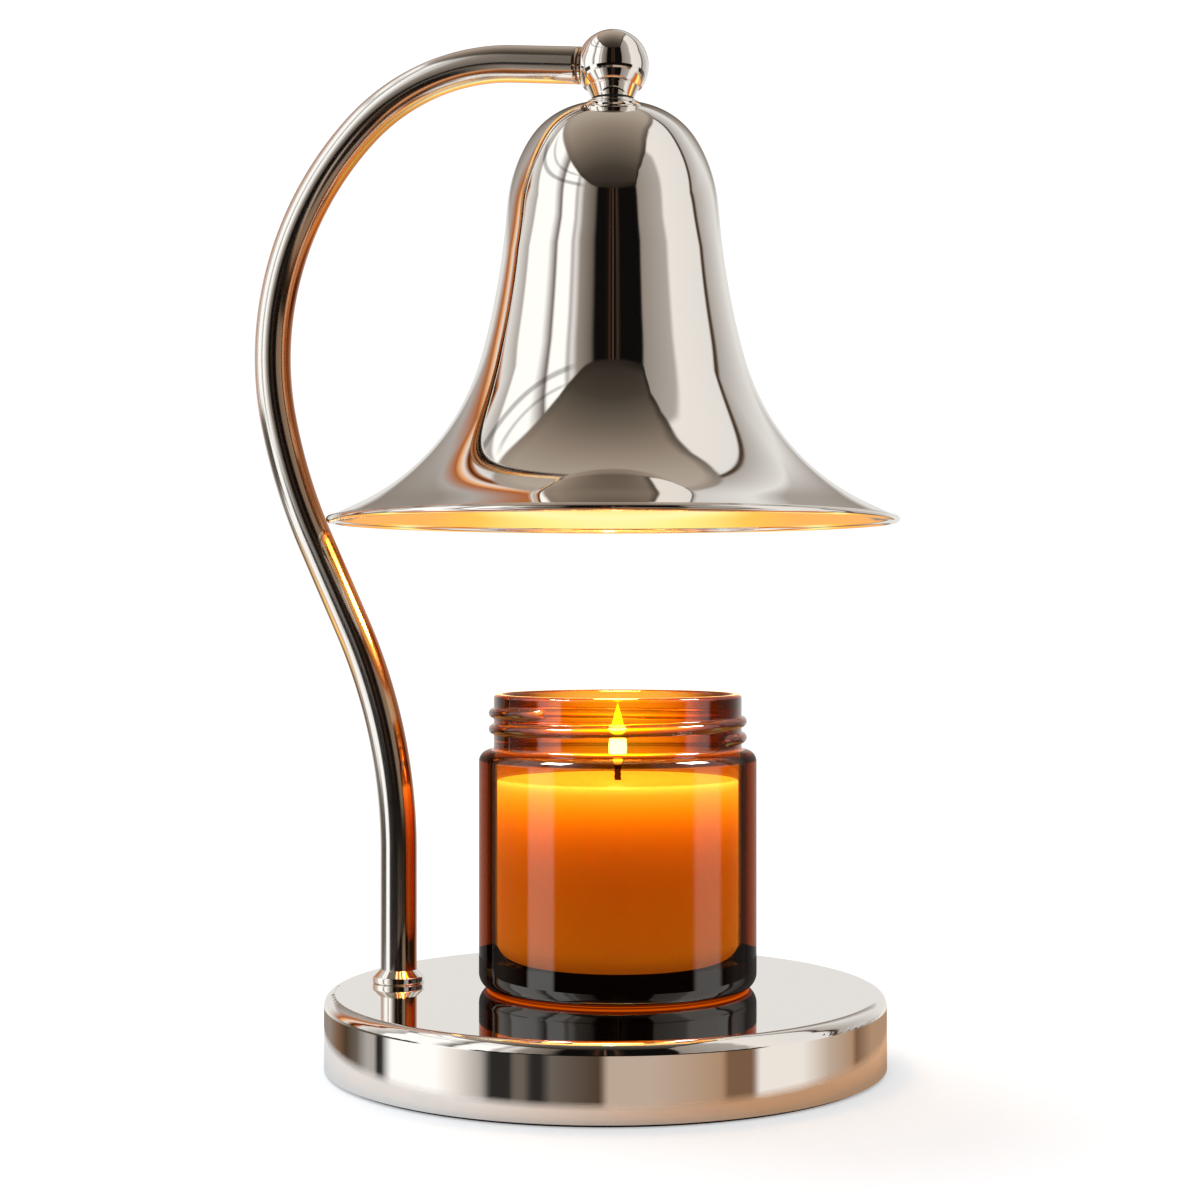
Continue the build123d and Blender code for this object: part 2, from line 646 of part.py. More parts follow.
def tilt_ring(outer, inner, near, far):
    """Sleeve round the tilt axis, between two distances back from the ball's centre."""
    tube = Pos(0, 0, -far) * Cylinder(outer, far - near, align=UP)
    if inner:
        tube -= Pos(0, 0, -far - OVER) * Cylinder(inner, far - near + 2 * OVER, align=UP)
    return tilt_frame() * tube


def arm_spigot():
    """Turned end of the arm: a plug in the tube and a journal for the ball, with a stop groove."""
    plug_r = ARM_BORE_R - TAPPED_FIT
    plug = tilt_ring(plug_r, SPIGOT_BORE_R, TUBE_END, TUBE_END + SPIGOT_INSERT)
    journal = tilt_ring(JOURNAL_R, SPIGOT_BORE_R, JOURNAL_END, TUBE_END)
    width = 2 * STOP_GROOVE_HALF
    spread = TILT_MAX + math.degrees(math.atan2(STOP_SCREW_R + STOP_EASE, STOP_GROOVE_R))
    groove = Cylinder(JOURNAL_R + OVER, width, arc_size=2 * spread, rotation=(0, 0, -spread), align=WEDGE)
    core = Cylinder(STOP_GROOVE_R, width, align=UP)
    return plug + journal - tilt_frame() * Pos(0, 0, -STOP_AT - STOP_GROOVE_HALF) * (groove - core)


def wave_washer():
    """Spring washer between the tube's end and the ball; it gives the tilt its friction."""
    hole = JOURNAL_R + CLEAR_HOLE
    return tilt_ring(ARM_R - WAVE_WASHER_INSET, hole, WASHER_START, WASHER_START + WAVE_WASHER_T)


# --- ball: tilts on the spigot ---

def joint_ball():
    """Polished ball with a short neck, bored for the spigot and tapped for the nipple."""
    ball = Pos(BALL_X, 0, BALL_Z) * Sphere(BALL_R)
    cutter = Box(4 * BALL_R, 4 * BALL_R, 2 * BALL_R, align=DOWN)
    ball -= tilt_frame() * Pos(0, 0, -BALL_FLAT) * cutter
    ball -= Pos(BALL_X, 0, NECK_TOP_Z) * cutter
    ball += cone(NECK_BOTTOM_R, NECK_TOP_R, NECK_BOTTOM_Z, NECK_TOP_Z, BALL_X)
    ball -= tilt_ring(JOURNAL_R + JOURNAL_FIT, 0, JOURNAL_END - JOURNAL_END_GAP, BALL_R + OVER)
    ball -= Pos(BALL_X, 0, BALL_Z) * Sphere(CAVITY_R)
    ball -= disc(CAVITY_R, NIPPLE_TOP_Z - OVER, BALL_Z, BALL_X)
    ball -= disc(NIPPLE_R, NECK_BOTTOM_Z - OVER, NIPPLE_TOP_Z, BALL_X)
    return ball - stop_bar(STOP_SCREW_R + TAPPED_FIT, JOURNAL_R - OVER, BALL_R + OVER)


def stop_bar(radius, near, far):
    """Round bar along +Y, square to the tilt axis, at the stop screw."""
    bar = Cylinder(radius, far - near, align=UP)
    return tilt_frame() * Pos(near, 0, -STOP_AT) * Rot(0, 90, 0) * bar


def stop_screw():
    """Grub screw in the back of the ball; its tip rides in the spigot's groove."""
    tail = math.sqrt(BALL_R**2 - STOP_AT**2) - STOP_SUNK
    screw = stop_bar(STOP_SCREW_R, STOP_GROOVE_R + STOP_TIP_GAP, tail)
    return screw - stop_bar(STOP_SOCKET_R, tail - STOP_SOCKET_DEPTH, tail + OVER)


def head_nipple():
    """Threaded tube screwed into the ball's neck; the head turns on it."""
    return ring(NIPPLE_R, NIPPLE_R - NIPPLE_WALL, NIPPLE_BOTTOM_Z, NIPPLE_TOP_Z, BALL_X)


def gap_washer():
    """Dark washer between the ball's neck and the shade's flange."""
    outer = NECK_BOTTOM_R - GAP_WASHER_INSET
    return ring(outer, NIPPLE_R, NECK_BOTTOM_Z - GAP_WASHER_T, NECK_BOTTOM_Z, BALL_X)


def friction_washer():
    """Spring washer under the bracket; it keeps the head where it is turned."""
    return ring(FRICTION_WASHER_R, NIPPLE_R, NUT_TOP, FRICTION_TOP, BALL_X)


def nipple_nut():
    """Hexagon nut at the nipple's lower end."""
    low = NUT_TOP - NIPPLE_NUT_T
    return hexagon(NIPPLE_NUT_AF, low, NUT_TOP, BALL_X) - disc(NIPPLE_R, low - OVER, NUT_TOP + OVER, BALL_X)


def ball_lead():
    """Lead inside the ball: an elbow on the tilt axis, then down through the nipple."""
    drop = math.radians(ARM_END_DROP)
    start = (BALL_X - ELBOW_R * math.cos(drop), BALL_Z + ELBOW_R * math.sin(drop))
    turn = -90 + ARM_END_DROP
    bend_r = ELBOW_R / math.tan(math.radians(-turn / 2))
    down = BALL_Z - ELBOW_R - NIPPLE_BOTTOM_Z
    edges, _, _ = trace(start, -ARM_END_DROP, [(bend_r, turn), (down,)])
    return swept(LEAD_R, 0, start, -ARM_END_DROP, edges)


# --- head: shade and lampholder, turning on the nipple ---

def shade_bends(inset):
    """Bends of the bell, from the seat outwards, for a surface this far inside the outer one."""
    convex = [(KNUCKLE_R, KNUCKLE_TURN), (SHOULDER_R, SHOULDER_TURN), (WAIST_R, WAIST_TURN)]
    hollow = [(FLANK_R, FLANK_TURN), (THROAT_R, THROAT_TURN)]
    turned_in = sum(turn for _, turn in convex) - sum(turn for _, turn in hollow)
    hollow.append((FLARE_R, turned_in - LIP_SLOPE))
    bends = [(radius - inset, -turn) for radius, turn in convex]
    return bends + [(radius + inset, turn) for radius, turn in hollow]


def shade_outline(inset):
    """Edges and end point of the bell's outline, from the seat to the rolled edge."""
    _, (radius, _), _ = trace((SEAT_R, SHADE_TOP_Z), 0, shade_bends(0))
    lip_run = (RIM_R - BEAD_R - radius) / math.cos(math.radians(LIP_SLOPE))
    runs = shade_bends(inset) + [(lip_run,)]
    edges, end, _ = trace((SEAT_R, SHADE_TOP_Z - inset), 0, runs)
    return edges, end


def shade():
    """Spun bell with a flat seat, a flared skirt and a rolled edge."""
    hole = NIPPLE_R + LOOSE_HOLE
    outer, outer_end = shade_outline(0)
    inner, inner_end = shade_outline(SHADE_T)
    seat = straight((hole, SHADE_IN_Z), (hole, SHADE_TOP_Z), (SEAT_R, SHADE_TOP_Z))
    underside = straight((SEAT_R, SHADE_IN_Z), (hole, SHADE_IN_Z))
    skin = turned(seat + outer + straight(outer_end, inner_end) + inner + underside)
    bead = Pos(0, 0, outer_end[1] - BEAD_R * BEAD_DROP) * Torus(RIM_R - BEAD_R, BEAD_R)
    return Pos(BALL_X, 0, 0) * (skin + bead)


def shade_flange():
    """Small dished cap on top of the bell."""
    hole = NIPPLE_R + SWIVEL_FIT
    flange_r = SEAT_R - FLANGE_INSET
    rim = (flange_r, SHADE_TOP_Z + FLANGE_RIM_H)
    top = (FLANGE_TOP_R, FLANGE_TOP_Z)
    foot = straight((hole, SHADE_TOP_Z), (flange_r, SHADE_TOP_Z), rim)
    close = straight(top, (hole, FLANGE_TOP_Z), (hole, SHADE_TOP_Z))
    return turned(foot + [bowed(rim, top, FLANGE_SWELL)] + close, BALL_X)


def lampholder_bracket():
    """Strap under the seat with two legs down the sides of the lampholder."""
    body = Pos(BALL_X, 0, BRACKET_Z) * Box(BRACKET_TIE, BRACKET_W, BRACKET_T, align=UP)
    body += disc(SEAT_R - BRACKET_BOSS_INSET, BRACKET_Z, SHADE_IN_Z, BALL_X)
    for side in (-1, 1):
        body += bracket_leg(side)
        body -= holder_screw_bar(side, HOLDER_SCREW_R + CLEAR_HOLE, HOLDER_R - OVER, HOLDER_SIDE + OVER)
    return body - disc(NIPPLE_R + SWIVEL_FIT, BRACKET_Z - OVER, SHADE_IN_Z + OVER, BALL_X)


def bracket_leg(side):
    """One bracket leg: a sloping strap from the tie, then straight down the holder's side."""
    start = BRACKET_TIE / 2 - LEG_START
    knee = BRACKET_Z - LEG_DROP
    foot = HOLDER_TOP_Z - LEG_OVERLAP
    outline = Polyline((start, 0, BRACKET_TOP), (HOLDER_SIDE, 0, knee + BRACKET_T),
                       (HOLDER_SIDE, 0, foot), (HOLDER_R, 0, foot), (HOLDER_R, 0, knee),
                       (start, 0, BRACKET_Z), close=True)
    strap = extrude(make_face(outline), BRACKET_W / 2, dir=(0, 1, 0), both=True)
    if side < 0:
        strap = mirror(strap, about=Plane.YZ)
    return Pos(BALL_X, 0, 0) * strap


def holder_screw_bar(side, radius, near, far):
    """Round bar along X through a bracket leg, between two distances from the head's axis."""
    bar = Pos(near, 0, HOLDER_SCREW_Z) * Rot(0, 90, 0) * Cylinder(radius, far - near, align=UP)
    return Pos(BALL_X, 0, 0) * (bar if side > 0 else mirror(bar, about=Plane.YZ))


def holder_screw(side):
    """Pan-head screw through the leg into the lampholder."""
    screw = holder_screw_bar(side, HOLDER_SCREW_R, HOLDER_SIDE - HOLDER_SCREW_L, HOLDER_SIDE)
    top = HOLDER_SIDE + HOLDER_HEAD_H
    head = holder_screw_bar(side, HOLDER_HEAD_R, HOLDER_SIDE, top)
    slot = Box(2 * HOLDER_SLOT_DEPTH, 3 * HOLDER_HEAD_R, HOLDER_SLOT_W)
    return screw + head - Pos(BALL_X + side * top, 0, HOLDER_SCREW_Z) * slot


def pin_place(side, angle=0.0):
    """Centre of a bulb pin, turned about the head's axis from the locked place."""
    at = math.radians(90 * side + angle)
    return BALL_X + PIN_SPACING / 2 * math.cos(at), PIN_SPACING / 2 * math.sin(at)


def twist_slot(side, radius, low, high):
    """Curved slot that a pin sweeps between its locked and its free place."""
    middle = PIN_SPACING / 2
    wedge = Cylinder(middle + radius + OVER, high - low, arc_size=BULB_TWIST, align=WEDGE)
    sector = Pos(0, 0, low) * Rot(0, 0, 90 * side) * wedge
    slot = Pos(BALL_X, 0, 0) * (ring(middle + radius, middle - radius, low, high) & sector)
    for angle in (0.0, BULB_TWIST):
        x, y = pin_place(side, angle)
        slot += disc(radius, low, high, x, y)
    return slot


def lampholder():
    """Ceramic twist-lock holder: a disc with a curved keyhole for each pin."""
    body = disc(HOLDER_R, HOLDER_FACE_Z, HOLDER_TOP_Z, BALL_X)
    body = chamfer(body.edges().filter_by(GeomType.CIRCLE), HOLDER_EDGE)
    neck_slot_r = PIN_NECK_R + PIN_CLEARANCE
    head_slot_r = PIN_HEAD_R + PIN_CLEARANCE
    face = HOLDER_FACE_Z - OVER
    hole_end = HOLDER_SIDE - HOLDER_SCREW_L - HOLDER_SCREW_ROOM
    for side in (-1, 1):
        body -= twist_slot(side, neck_slot_r, face, SLOT_PLATE_TOP + PIN_END_GAP)
        body -= twist_slot(side, head_slot_r, SLOT_PLATE_TOP, CHAMBER_TOP)
        x, y = pin_place(side, BULB_TWIST)
        body -= disc(head_slot_r, face, SLOT_PLATE_TOP + PIN_END_GAP, x, y)
        body -= contact_block(side, 0.0)
        body -= holder_screw_bar(side, HOLDER_SCREW_R + TAPPED_FIT, hole_end, HOLDER_SIDE)
    lead_hole_low = HOLDER_TOP_Z - HOLDER_LEAD_DEPTH
    return body - disc(LEAD_R + LEAD_HOLE, lead_hole_low, HOLDER_TOP_Z + OVER, BALL_X)


def contact_block(side, inset):
    """Room for a contact leaf above a pin's locked place, or the leaf itself when inset."""
    x, y = pin_place(side)
    size = CONTACT_W - 2 * inset
    return Pos(x, y, CHAMBER_TOP) * Box(size, size, CONTACT_T, align=UP)


def holder_contact(side):
    """Brass contact leaf that a pin presses against."""
    return contact_block(side, THRUST_GAP)


def holder_lead():
    """Lead from below the nipple into the lampholder."""
    low = HOLDER_TOP_Z - HOLDER_LEAD_DEPTH + CLEAR_HOLE
    return disc(LEAD_R, low, NIPPLE_BOTTOM_Z - LEAD_GAP, BALL_X)


# --- bulb: turns in the lampholder ---

def reflector_edges(inset):
    """Reflector's side from collar to rim: a straight collar, then a bowl, with its two ends."""
    start = (BULB_BASE_R - inset, BULB_STEP_Z)
    end = (BULB_R - inset, BULB_FRONT_Z + BULB_RIM_L)
    top = (start[0], BULB_STEP_Z + BULB_COLLAR_L)
    return straight(top, start) + [bowed(start, end, BULB_SWELL)], top, end


def bulb_reflector():
    """Glass reflector bowl with a collar that grips the base."""
    side_out, top_out, rim_out = reflector_edges(0)
    side_in, top_in, rim_in = reflector_edges(BULB_GLASS_T)
    rim = straight(rim_out, (rim_out[0], BULB_FRONT_Z), (rim_in[0], BULB_FRONT_Z), rim_in)
    return turned(side_out + rim + side_in + straight(top_in, top_out), BALL_X)


def bulb_base():
    """White ceramic base; its lower end is stepped to enter the reflector's collar."""
    shoulder = BULB_STEP_Z + BULB_COLLAR_L
    body = disc(BULB_BASE_R, shoulder, BULB_TOP_Z, BALL_X)
    body = fillet(body.edges().filter_by(GeomType.CIRCLE).sort_by(Axis.Z)[-1], BULB_BASE_EDGE_R)
    return body + disc(BULB_BASE_R - BULB_GLASS_T - THRUST_GAP, BULB_STEP_Z, shoulder, BALL_X)


def bulb_pin(side):
    """Twist-lock pin: a neck and a wider head, in steel."""
    x, y = pin_place(side)
    neck = disc(PIN_NECK_R, BULB_TOP_Z, PIN_HEAD_Z, x, y)
    head = disc(PIN_HEAD_R, PIN_HEAD_Z, PIN_HEAD_Z + PIN_HEAD_L, x, y)
    head = chamfer(head.edges().sort_by(Axis.Z)[-1], PIN_EDGE)
    return neck + head


def bulb_lens():
    """Flat front glass, set inside the reflector's rim."""
    low = BULB_FRONT_Z + BULB_LENS_INSET
    return disc(BULB_R - BULB_GLASS_T - TAPPED_FIT, low, low + BULB_LENS_T, BALL_X)


def bulb_capsule():
    """Hollow quartz capsule that stands in the reflector's throat."""
    low = BULB_STEP_Z - CAPSULE_L
    hollow = capsule_bar(CAPSULE_R - CAPSULE_WALL, low + CAPSULE_WALL, BULB_STEP_Z - CAPSULE_SEAL_L)
    return capsule_bar(CAPSULE_R, low, BULB_STEP_Z) - hollow


def capsule_bar(radius, low, high):
    """Round bar with a domed lower end."""
    return disc(radius, low + radius, high, BALL_X) + Pos(BALL_X, 0, low + radius) * Sphere(radius)


def bulb_filament():
    """Tungsten coil's outer shape on its two support wires."""
    seal = BULB_STEP_Z - CAPSULE_SEAL_L
    coil_z = seal - FILAMENT_DROP
    coil = Pos(BALL_X, 0, coil_z) * Rot(90, 0, 0) * Cylinder(FILAMENT_R, FILAMENT_L)
    for side in (-1, 1):
        y = side * (FILAMENT_L / 2 - FILAMENT_WIRE_INSET)
        coil += disc(FILAMENT_WIRE_R, coil_z, seal, BALL_X, y)
    return coil


# --- candle ---

def jar_outline():
    """Closed outline of the jar's wall, from the foot up, over the lip and down inside."""
    turn = math.radians(JAR_SHOULDER_TURN)
    bends = JAR_SHOULDER_R + JAR_SHOULDER_ROOT_R
    ledge = (JAR_STEP_IN - bends * (1 - math.cos(turn))) / math.sin(turn)
    rise = bends * math.sin(turn) + ledge * math.cos(turn)
    wall = JAR_H - NECK_L - rise - JAR_FOOT_R
    neck_side = NECK_L - LIP_R
    lip = NECK_WALL - 2 * LIP_R
    flare = math.acos(1 - (JAR_BORE_R - NECK_BORE_R) / (2 * JAR_FLARE_R))
    flare_turn = math.degrees(flare)
    flare_h = 2 * JAR_FLARE_R * math.sin(flare)
    inner_wall = JAR_H - NECK_L - flare_h - JAR_FLOOR - JAR_INNER_FOOT_R
    runs = [(JAR_FOOT_R, 90), (wall,), (JAR_SHOULDER_R, JAR_SHOULDER_TURN), (ledge,),
            (JAR_SHOULDER_ROOT_R, -JAR_SHOULDER_TURN), (neck_side,), (LIP_R, 90), (lip,),
            (LIP_R, 90), (neck_side,), (JAR_FLARE_R, flare_turn), (JAR_FLARE_R, -flare_turn),
            (inner_wall,), (JAR_INNER_FOOT_R, -90), (JAR_BORE_R - JAR_INNER_FOOT_R,)]
    start = (JAR_R - JAR_FOOT_R, JAR_Z)
    edges, _, _ = trace(start, 0, runs)
    floor = straight((0, JAR_FLOOR_Z), (0, JAR_Z + PUNT_H), (PUNT_R, JAR_Z + PUNT_H),
                     (PUNT_R + PUNT_SLOPE_W, JAR_Z), start)
    return edges + floor


def jar_thread():
    """Rounded screw thread wound on the neck, its root sunk a little into it."""
    height = THREAD_PITCH * THREAD_TURNS
    low = JAR_Z + JAR_H - THREAD_END - height
    helix = Helix(THREAD_PITCH, height, NECK_R - THREAD_SINK)
    crest = THREAD_H + THREAD_SINK
    half = THREAD_W / 2
    section = make_face(Wire([Line((0, -half), (0, half)),
                              ThreePointArc((0, half), (crest, 0), (0, -half))]))
    section = Plane(helix @ 0, x_dir=(1, 0, 0), z_dir=helix % 0) * section
    ridge = sweep(section, path=helix, is_frenet=True)
    return Pos(JAR_X, JAR_Y, low) * Rot(0, 0, THREAD_END_AT - 360 * THREAD_TURNS) * ridge


def candle_jar():
    """Thick amber glass jar with a screw neck."""
    return turned(jar_outline(), JAR_X, JAR_Y) + jar_thread()


def candle_wax():
    """Poured wax, bored for the wick, with room for the wick's tab."""
    body = disc(JAR_BORE_R - WAX_GAP, JAR_FLOOR_Z, WAX_TOP_Z, JAR_X, JAR_Y)
    body = fillet(body.edges().sort_by(Axis.Z)[0], JAR_INNER_FOOT_R)
    body -= disc(WICK_R, JAR_FLOOR_Z - OVER, WAX_TOP_Z + OVER, JAR_X, JAR_Y)
    return body - disc(TAB_R + THRUST_GAP, JAR_FLOOR_Z - OVER, JAR_FLOOR_Z + TAB_T, JAR_X, JAR_Y)


def wick_tab():
    """Tinned disc that holds the wick's foot."""
    return disc(TAB_R, JAR_FLOOR_Z, JAR_FLOOR_Z + TAB_T, JAR_X, JAR_Y)


def candle_wick():
    """Braided cotton wick."""
    body = disc(WICK_R, JAR_FLOOR_Z + TAB_T, WAX_TOP_Z + WICK_ABOVE_WAX, JAR_X, JAR_Y)
    return fillet(body.edges().sort_by(Axis.Z)[-1], WICK_TIP_R)


def all_parts():
    """Every node's name and solid."""
    parts = {
        "base_shell": base_shell(), "base_weight": base_weight(),
        "bottom_plate": bottom_plate(), "base_pad": base_pad(),
        "cord_bushing": cord_bushing(), "cord_bushing_nut": cord_bushing_nut(),
        "terminal_block": terminal_block(),
        "earth_tag": earth_tag(), "earth_screw": earth_screw(),
        "stem_collar": stem_collar(), "stem_nipple": stem_nipple(),
        "stem_washer": stem_washer(), "stem_nut": stem_nut(),
        "arm_tube": arm_tube(), "arm_lead": arm_lead(),
        "arm_spigot": arm_spigot(), "wave_washer": wave_washer(),
        "joint_ball": joint_ball(), "stop_screw": stop_screw(),
        "head_nipple": head_nipple(), "gap_washer": gap_washer(),
        "friction_washer": friction_washer(), "nipple_nut": nipple_nut(),
        "ball_lead": ball_lead(),
        "shade": shade(), "shade_flange": shade_flange(),
        "lampholder_bracket": lampholder_bracket(), "lampholder": lampholder(),
        "holder_lead": holder_lead(),
        "bulb_base": bulb_base(), "bulb_reflector": bulb_reflector(),
        "bulb_lens": bulb_lens(), "bulb_capsule": bulb_capsule(),
        "bulb_filament": bulb_filament(),
        "candle_jar": candle_jar(), "candle_wax": candle_wax(),
        "wick_tab": wick_tab(), "candle_wick": candle_wick(),
    }
    for number, (x, y) in enumerate(screw_places(), 1):
        parts[f"bottom_screw_{number}"] = bottom_screw(x, y)
    for number, (x, y) in enumerate(terminal_screw_places(), 1):
        parts[f"terminal_screw_{number}"] = terminal_screw(x, y)
    for number, side in enumerate((-1, 1), 1):
        parts[f"terminal_tube_{number}"] = terminal_tube(side * TERMINAL_PITCH / 2)
        parts[f"holder_contact_{number}"] = holder_contact(side)
        parts[f"holder_screw_{number}"] = holder_screw(side)
        parts[f"bulb_pin_{number}"] = bulb_pin(side)
    return parts


os.makedirs("parts", exist_ok=True)
for name, shape in all_parts().items():
    export_step(as_solid(shape), f"parts/{name}.step")
print("upright and last run of the arm:", [round(length, 2) for length in arm_straights()])
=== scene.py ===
import json
import math

import bmesh
import bpy
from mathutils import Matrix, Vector


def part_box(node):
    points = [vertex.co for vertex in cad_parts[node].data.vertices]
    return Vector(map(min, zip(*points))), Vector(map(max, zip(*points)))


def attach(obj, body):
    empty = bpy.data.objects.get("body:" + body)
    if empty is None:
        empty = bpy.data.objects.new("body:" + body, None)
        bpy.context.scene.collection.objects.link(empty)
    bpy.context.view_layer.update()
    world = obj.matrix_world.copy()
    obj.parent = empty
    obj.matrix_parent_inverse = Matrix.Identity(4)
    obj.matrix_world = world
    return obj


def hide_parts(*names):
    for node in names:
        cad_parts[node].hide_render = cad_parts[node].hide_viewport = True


# Candle warmer lamp: a nickel swan-neck lamp whose bulb melts the candle that stands on its base.
# Lengths are in metres. The jar's and the shade's axes stand where the solids have them.
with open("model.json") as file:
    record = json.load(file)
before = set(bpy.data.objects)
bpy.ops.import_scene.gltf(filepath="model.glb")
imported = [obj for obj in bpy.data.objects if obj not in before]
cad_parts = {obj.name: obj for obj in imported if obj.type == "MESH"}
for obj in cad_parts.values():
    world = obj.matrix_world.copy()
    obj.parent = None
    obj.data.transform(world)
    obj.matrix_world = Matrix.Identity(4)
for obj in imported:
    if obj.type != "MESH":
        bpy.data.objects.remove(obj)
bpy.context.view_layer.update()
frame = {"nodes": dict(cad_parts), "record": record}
nodes = frame["nodes"]
slot_of = {part["node"]: part["material_slot"] for part in frame["record"]["subparts"]}
MM = 0.001
UM = 0.000001


def linear(code):
    """An sRGB hex colour as the linear colour that a socket holds. A number is a plain grey level."""
    if not isinstance(code, str):
        return [code, code, code, 1.0]
    parts = [int(code[i:i + 2], 16) / 255 for i in (1, 3, 5)]
    return [p / 12.92 if p <= 0.04045 else ((p + 0.055) / 1.055) ** 2.4 for p in parts] + [1.0]


def add(tree, kind, inputs=None, stops=None, curve="LINEAR", **settings):
    """One node with its settings. An input is a plain value, or the output that runs into it."""
    node = tree.nodes.new(kind)
    for name, value in settings.items():
        setattr(node, name, value)
    for name, value in (inputs or {}).items():
        if isinstance(value, bpy.types.NodeSocket):
            tree.links.new(value, node.inputs[name])
        else:
            node.inputs[name].default_value = value
    if stops:
        places, node.color_ramp.interpolation = node.color_ramp.elements, curve
        places[0].position, places[1].position = stops[0][0], stops[-1][0]
        places[0].color, places[1].color = linear(stops[0][1]), linear(stops[-1][1])
        for place, tone in stops[1:-1]:
            places.new(place).color = linear(tone)
    return node


made = {}


def finish(name):
    """The empty tree of a new material, which is kept under its name."""
    made[name] = bpy.data.materials.new(name)
    made[name].use_nodes = True
    made[name].node_tree.nodes.clear()
    return made[name].node_tree


def along_axis(tree, axis):
    """Where a point of the surface lies along one axis at rest, in metres."""
    place = add(tree, "ShaderNodeTexCoord").outputs["Object"]
    return add(tree, "ShaderNodeSeparateXYZ", {0: place}).outputs[axis]


# ---------------------------------------------------------------- camera

# A level view from in front, a little to the right of the base's axis.
FACING = math.radians(11)
EYE, SENSOR, LENS, SHIFT = (0.1124, -0.5782, 0.1214), 36, 65.8, (-0.0046, 0.0092)
camera = bpy.data.objects.new("camera", bpy.data.cameras.new("camera"))
bpy.context.collection.objects.link(camera)
camera.location = EYE
camera.rotation_euler = (math.radians(90), 0, FACING)
camera.data.sensor_width = SENSOR
camera.data.lens = LENS
camera.data.shift_x, camera.data.shift_y = SHIFT
camera.data.clip_start = 0.01
bpy.context.scene.camera = camera

# ---------------------------------------------------------------- studio

# What polished metal and glass see round them, by the angle from the studio's front, left to
# right: a white window wall on the left, a dark flag in front and a pale wall on the right.
PANE, PALE, WALL, HAZE, STONE, DUSK, FLAG, COPPER = (
    "#FDFCFA", "#DCDAD7", "#E6E0DA", "#A8A39E", "#8E857C", "#665E56", "#0E0C0B", "#A85F2C")
SAND, CLAY, FAWN, UMBER, SLATE = "#B8A595", "#765A45", "#AA8A70", "#4A3A2C", "#2A2826"
BRONZE = "#E8B080"
ROOM = [(-180, UMBER), (-166, STONE), (-150, HAZE), (-135, COPPER), (-130, BRONZE), (-126, PALE),
        (-123, COPPER), (-121, FLAG), (-118, COPPER), (-115, PALE), (-100, HAZE), (-97, PANE),
        (-72, PANE), (-62, DUSK), (-59, PANE), (-46, PANE), (-43, HAZE), (-39, PALE),
        (-34, STONE), (-22, DUSK), (-18, FLAG), (28, FLAG), (30, STONE), (57, HAZE), (61, WALL),
        (102, PALE), (104, UMBER), (107, UMBER), (110, HAZE), (150, PALE), (168, STONE), (180, UMBER)]
# Below eye level, where the jar and the foot of the arm look: two windows.
SILL = [(-180, PALE), (-150, WALL), (-122, DUSK), (-80, FLAG), (-77, PANE), (-55, PANE),
        (-52, FLAG), (63, FLAG), (67, WALL), (90, PALE), (95, FLAG), (122, DUSK), (150, WALL),
        (180, PALE)]
# Lower still, where the base's wall looks.
SKIRTING = [(-180, STONE), (-150, STONE), (-137, CLAY), (-128, UMBER), (-118, DUSK), (-110, HAZE),
            (-105, HAZE), (-103, SLATE), (-100, SLATE), (-94, PANE), (-71, PANE), (-62, WALL),
            (-50, HAZE), (-46, SLATE), (-38, SLATE), (-36, DUSK), (-32, DUSK), (-29, SLATE),
            (-25, SLATE), (-21, DUSK), (-2, UMBER), (1, SAND), (18, SAND), (46, FAWN), (49, CLAY),
            (60, CLAY), (63, WALL), (84, WALL), (100, SAND), (116, FAWN), (120, CLAY), (135, FAWN)]
# How high each side of the room goes before the ceiling starts, in degrees of height.
CORNICE = [(-180, 45), (-164, 45), (-150, 51), (-120, 60), (-90, 62), (-60, 58), (-36, 49),
           (-22, 46), (30, 46), (34, 51), (42, 59), (62, 66), (100, 71), (130, 66), (150, 55),
           (165, 45), (180, 45)]
# Heights over which one part of the room gives way to the part above it, from the floor up.
AHEAD_EDGE, POOL_EDGE, SKIRTING_EDGE, SILL_EDGE = (-44, -39), (-17, -14), (-10.2, -9.4), (-2, 0)
CORNICE_EDGE, COVING_H = 0.6, 6
# The window bars lean over between these heights, and the glazing bars cross between these.
LEAN_FROM, LEAN_TO, LEAN = 33, 63, 1.19
GLAZING_LOW, GLAZING_TOP = 40, 60
# The warm slits in the dark flag, from its left to its right, in degrees.
SLITS_LEFT, SLITS_RIGHT = -9, 11
# How far a direction points to the front or to the right where a part of the room begins, and
# where it is whole. Less than none is the back or the left.
AHEAD_SHARE, SCREEN_SHARE, BACKDROP_SHARE = 0.2, (-0.7, -0.86), (-0.72, -0.86)
LEFT_SHARE, RIGHT_SHARE, CEILING_SHARE = (-0.4, -0.5), (0.1, 0.4), (0.7, -0.7)
SCREEN_EDGE = (17, 13)
ROOM_LIGHT, ROOM_FILL = 1.1, 0.66


def by_angle(stops, share=1.0):
    """Ramp stops from angles to the left and right of the studio's front.

    A tone that is a number is multiplied by the share."""
    return [(angle / 360 + 0.5, tone if isinstance(tone, str) else tone * share)
            for angle, tone in stops]


